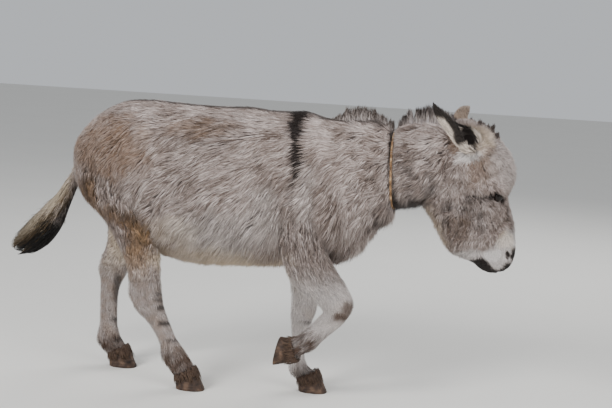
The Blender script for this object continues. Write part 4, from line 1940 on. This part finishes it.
# Name, place in metres, size in metres and power in watts.
LIGHTS = [
    ("key", (-2.6, -4.6, 3.8), 2.2, 420.0),
    ("fill", (4.4, -3.0, 1.9), 3.0, 190.0),
    ("rim", (1.5, 4.0, 4.0), 3.0, 140.0),
]
LIT_PLACE = np.array([0, 0, 0.8])  # where the lights point
DAYLIGHT, DAYLIGHT_STRENGTH = "#dfe3e8", 0.75


def placed(right, above, back, place):
    """A camera's or light's matrix from its axes and its place."""
    matrix = np.eye(4)
    matrix[:3] = np.stack([right, above, back, place], 1)
    return Matrix(matrix.tolist())


class DONKEY_OT_stage(bpy.types.Operator):
    """Builds the floor, the soft studio light and the camera"""

    bl_idname = "donkey.stage"
    bl_label = "Stage"

    def execute(self, context):
        settings = context.scene.donkey_stage
        self.floor(settings)
        for name, place, size, power in LIGHTS:
            self.light(name, place, size, power)
        world = bpy.data.worlds.new("studio")
        world.use_nodes = True
        sky = world.node_tree.nodes["Background"]
        sky.inputs["Color"].default_value = linear(DAYLIGHT)
        sky.inputs["Strength"].default_value = DAYLIGHT_STRENGTH
        context.scene.world = world
        self.camera(settings.focal_length)
        return {"FINISHED"}

    def floor(self, settings):
        """A plain square floor, a little uneven in tone."""
        half = settings.floor_size / 2
        corners = [(-half, -half, 0), (half, -half, 0), (half, half, 0), (-half, half, 0)]
        mesh = bpy.data.meshes.new("floor")
        mesh.from_pydata(corners, [], [(0, 1, 2, 3)])
        floor = shown("floor", mesh)
        material, tree, shader = new_material("matt studio floor paint", Roughness=0.9)
        place = add(tree, "TexCoord", out="Object")
        grain = add(tree, "TexNoise", {"Vector": place, "Scale": 1.5, "Detail": 4.0})
        value = add(tree, "MapRange", {"Value": grain, "To Min": 0.97, "To Max": 1.03})
        plain = paint(settings.floor_colour)
        coloured(tree, shader, add(tree, "HueSaturation", {"Value": value, "Color": plain}))
        mesh.materials.append(material)

    def light(self, name, place, size, power):
        """A square lamp that faces the lit place."""
        data = bpy.data.lights.new(name, "AREA")
        data.size, data.energy = size, power
        lamp = shown(name, data)
        back = unit(np.array(place) - LIT_PLACE)
        right = unit(np.cross([0, 0, 1.0], back))
        lamp.matrix_world = placed(right, np.cross(back, right), back, place)

    def camera(self, focal_length):
        """Turned by azimuth, then down, then by roll, about its own place."""
        a, d, r = CAMERA_AZIMUTH, CAMERA_DOWN, CAMERA_ROLL
        back = np.array([math.sin(a) * math.cos(d), -math.cos(a) * math.cos(d), math.sin(d)])
        level = np.array([math.cos(a), math.sin(a), 0.0])
        rise = np.cross(back, level)
        right = level * math.cos(r) + rise * math.sin(r)
        above = rise * math.cos(r) - level * math.sin(r)
        data = bpy.data.cameras.new("camera")
        data.lens, data.sensor_width = focal_length, 36.0
        camera = shown("camera", data)
        camera.matrix_world = placed(right, above, back, CAMERA_PLACE * MM + SHIFT)
        bpy.context.scene.camera = camera


class DONKEY_PT_panel(bpy.types.Panel):
    """Lists the steps that build the donkey, in order"""

    bl_idname = "DONKEY_PT_panel"
    bl_label = "Donkey"
    bl_space_type = "VIEW_3D"
    bl_region_type = "UI"
    bl_category = "Donkey"

    def draw(self, context):
        scene = context.scene
        for settings in (scene.donkey_coat, scene.donkey_parts, scene.donkey_stage):
            for name in settings.__annotations__:
                self.layout.prop(settings, name)
        for operator in OPERATORS:
            self.layout.operator(operator.bl_idname)


OPERATORS = (
    DONKEY_OT_stage,
    DONKEY_OT_skin,
    DONKEY_OT_coat,
    DONKEY_OT_long_hair,
    DONKEY_OT_eyes,
    DONKEY_OT_hooves,
    DONKEY_OT_rope,
)
CLASSES = (DonkeyCoatSettings, DonkeyPartSettings, DonkeyStageSettings, *OPERATORS, DONKEY_PT_panel)


def register():
    for made in CLASSES:
        bpy.utils.register_class(made)
    bpy.types.Scene.donkey_coat = bpy.props.PointerProperty(type=DonkeyCoatSettings)
    bpy.types.Scene.donkey_parts = bpy.props.PointerProperty(type=DonkeyPartSettings)
    bpy.types.Scene.donkey_stage = bpy.props.PointerProperty(type=DonkeyStageSettings)


def unregister():
    del bpy.types.Scene.donkey_coat
    del bpy.types.Scene.donkey_parts
    del bpy.types.Scene.donkey_stage
    for made in reversed(CLASSES):
        bpy.utils.unregister_class(made)


def main():
    """Builds the stage and the donkey."""
    register()
    bpy.ops.donkey.stage()
    bpy.ops.donkey.skin()
    bpy.ops.donkey.coat()
    bpy.ops.donkey.long_hair()
    bpy.ops.donkey.eyes()
    bpy.ops.donkey.hooves()
    bpy.ops.donkey.rope()


if __name__ == "__main__":
    main()
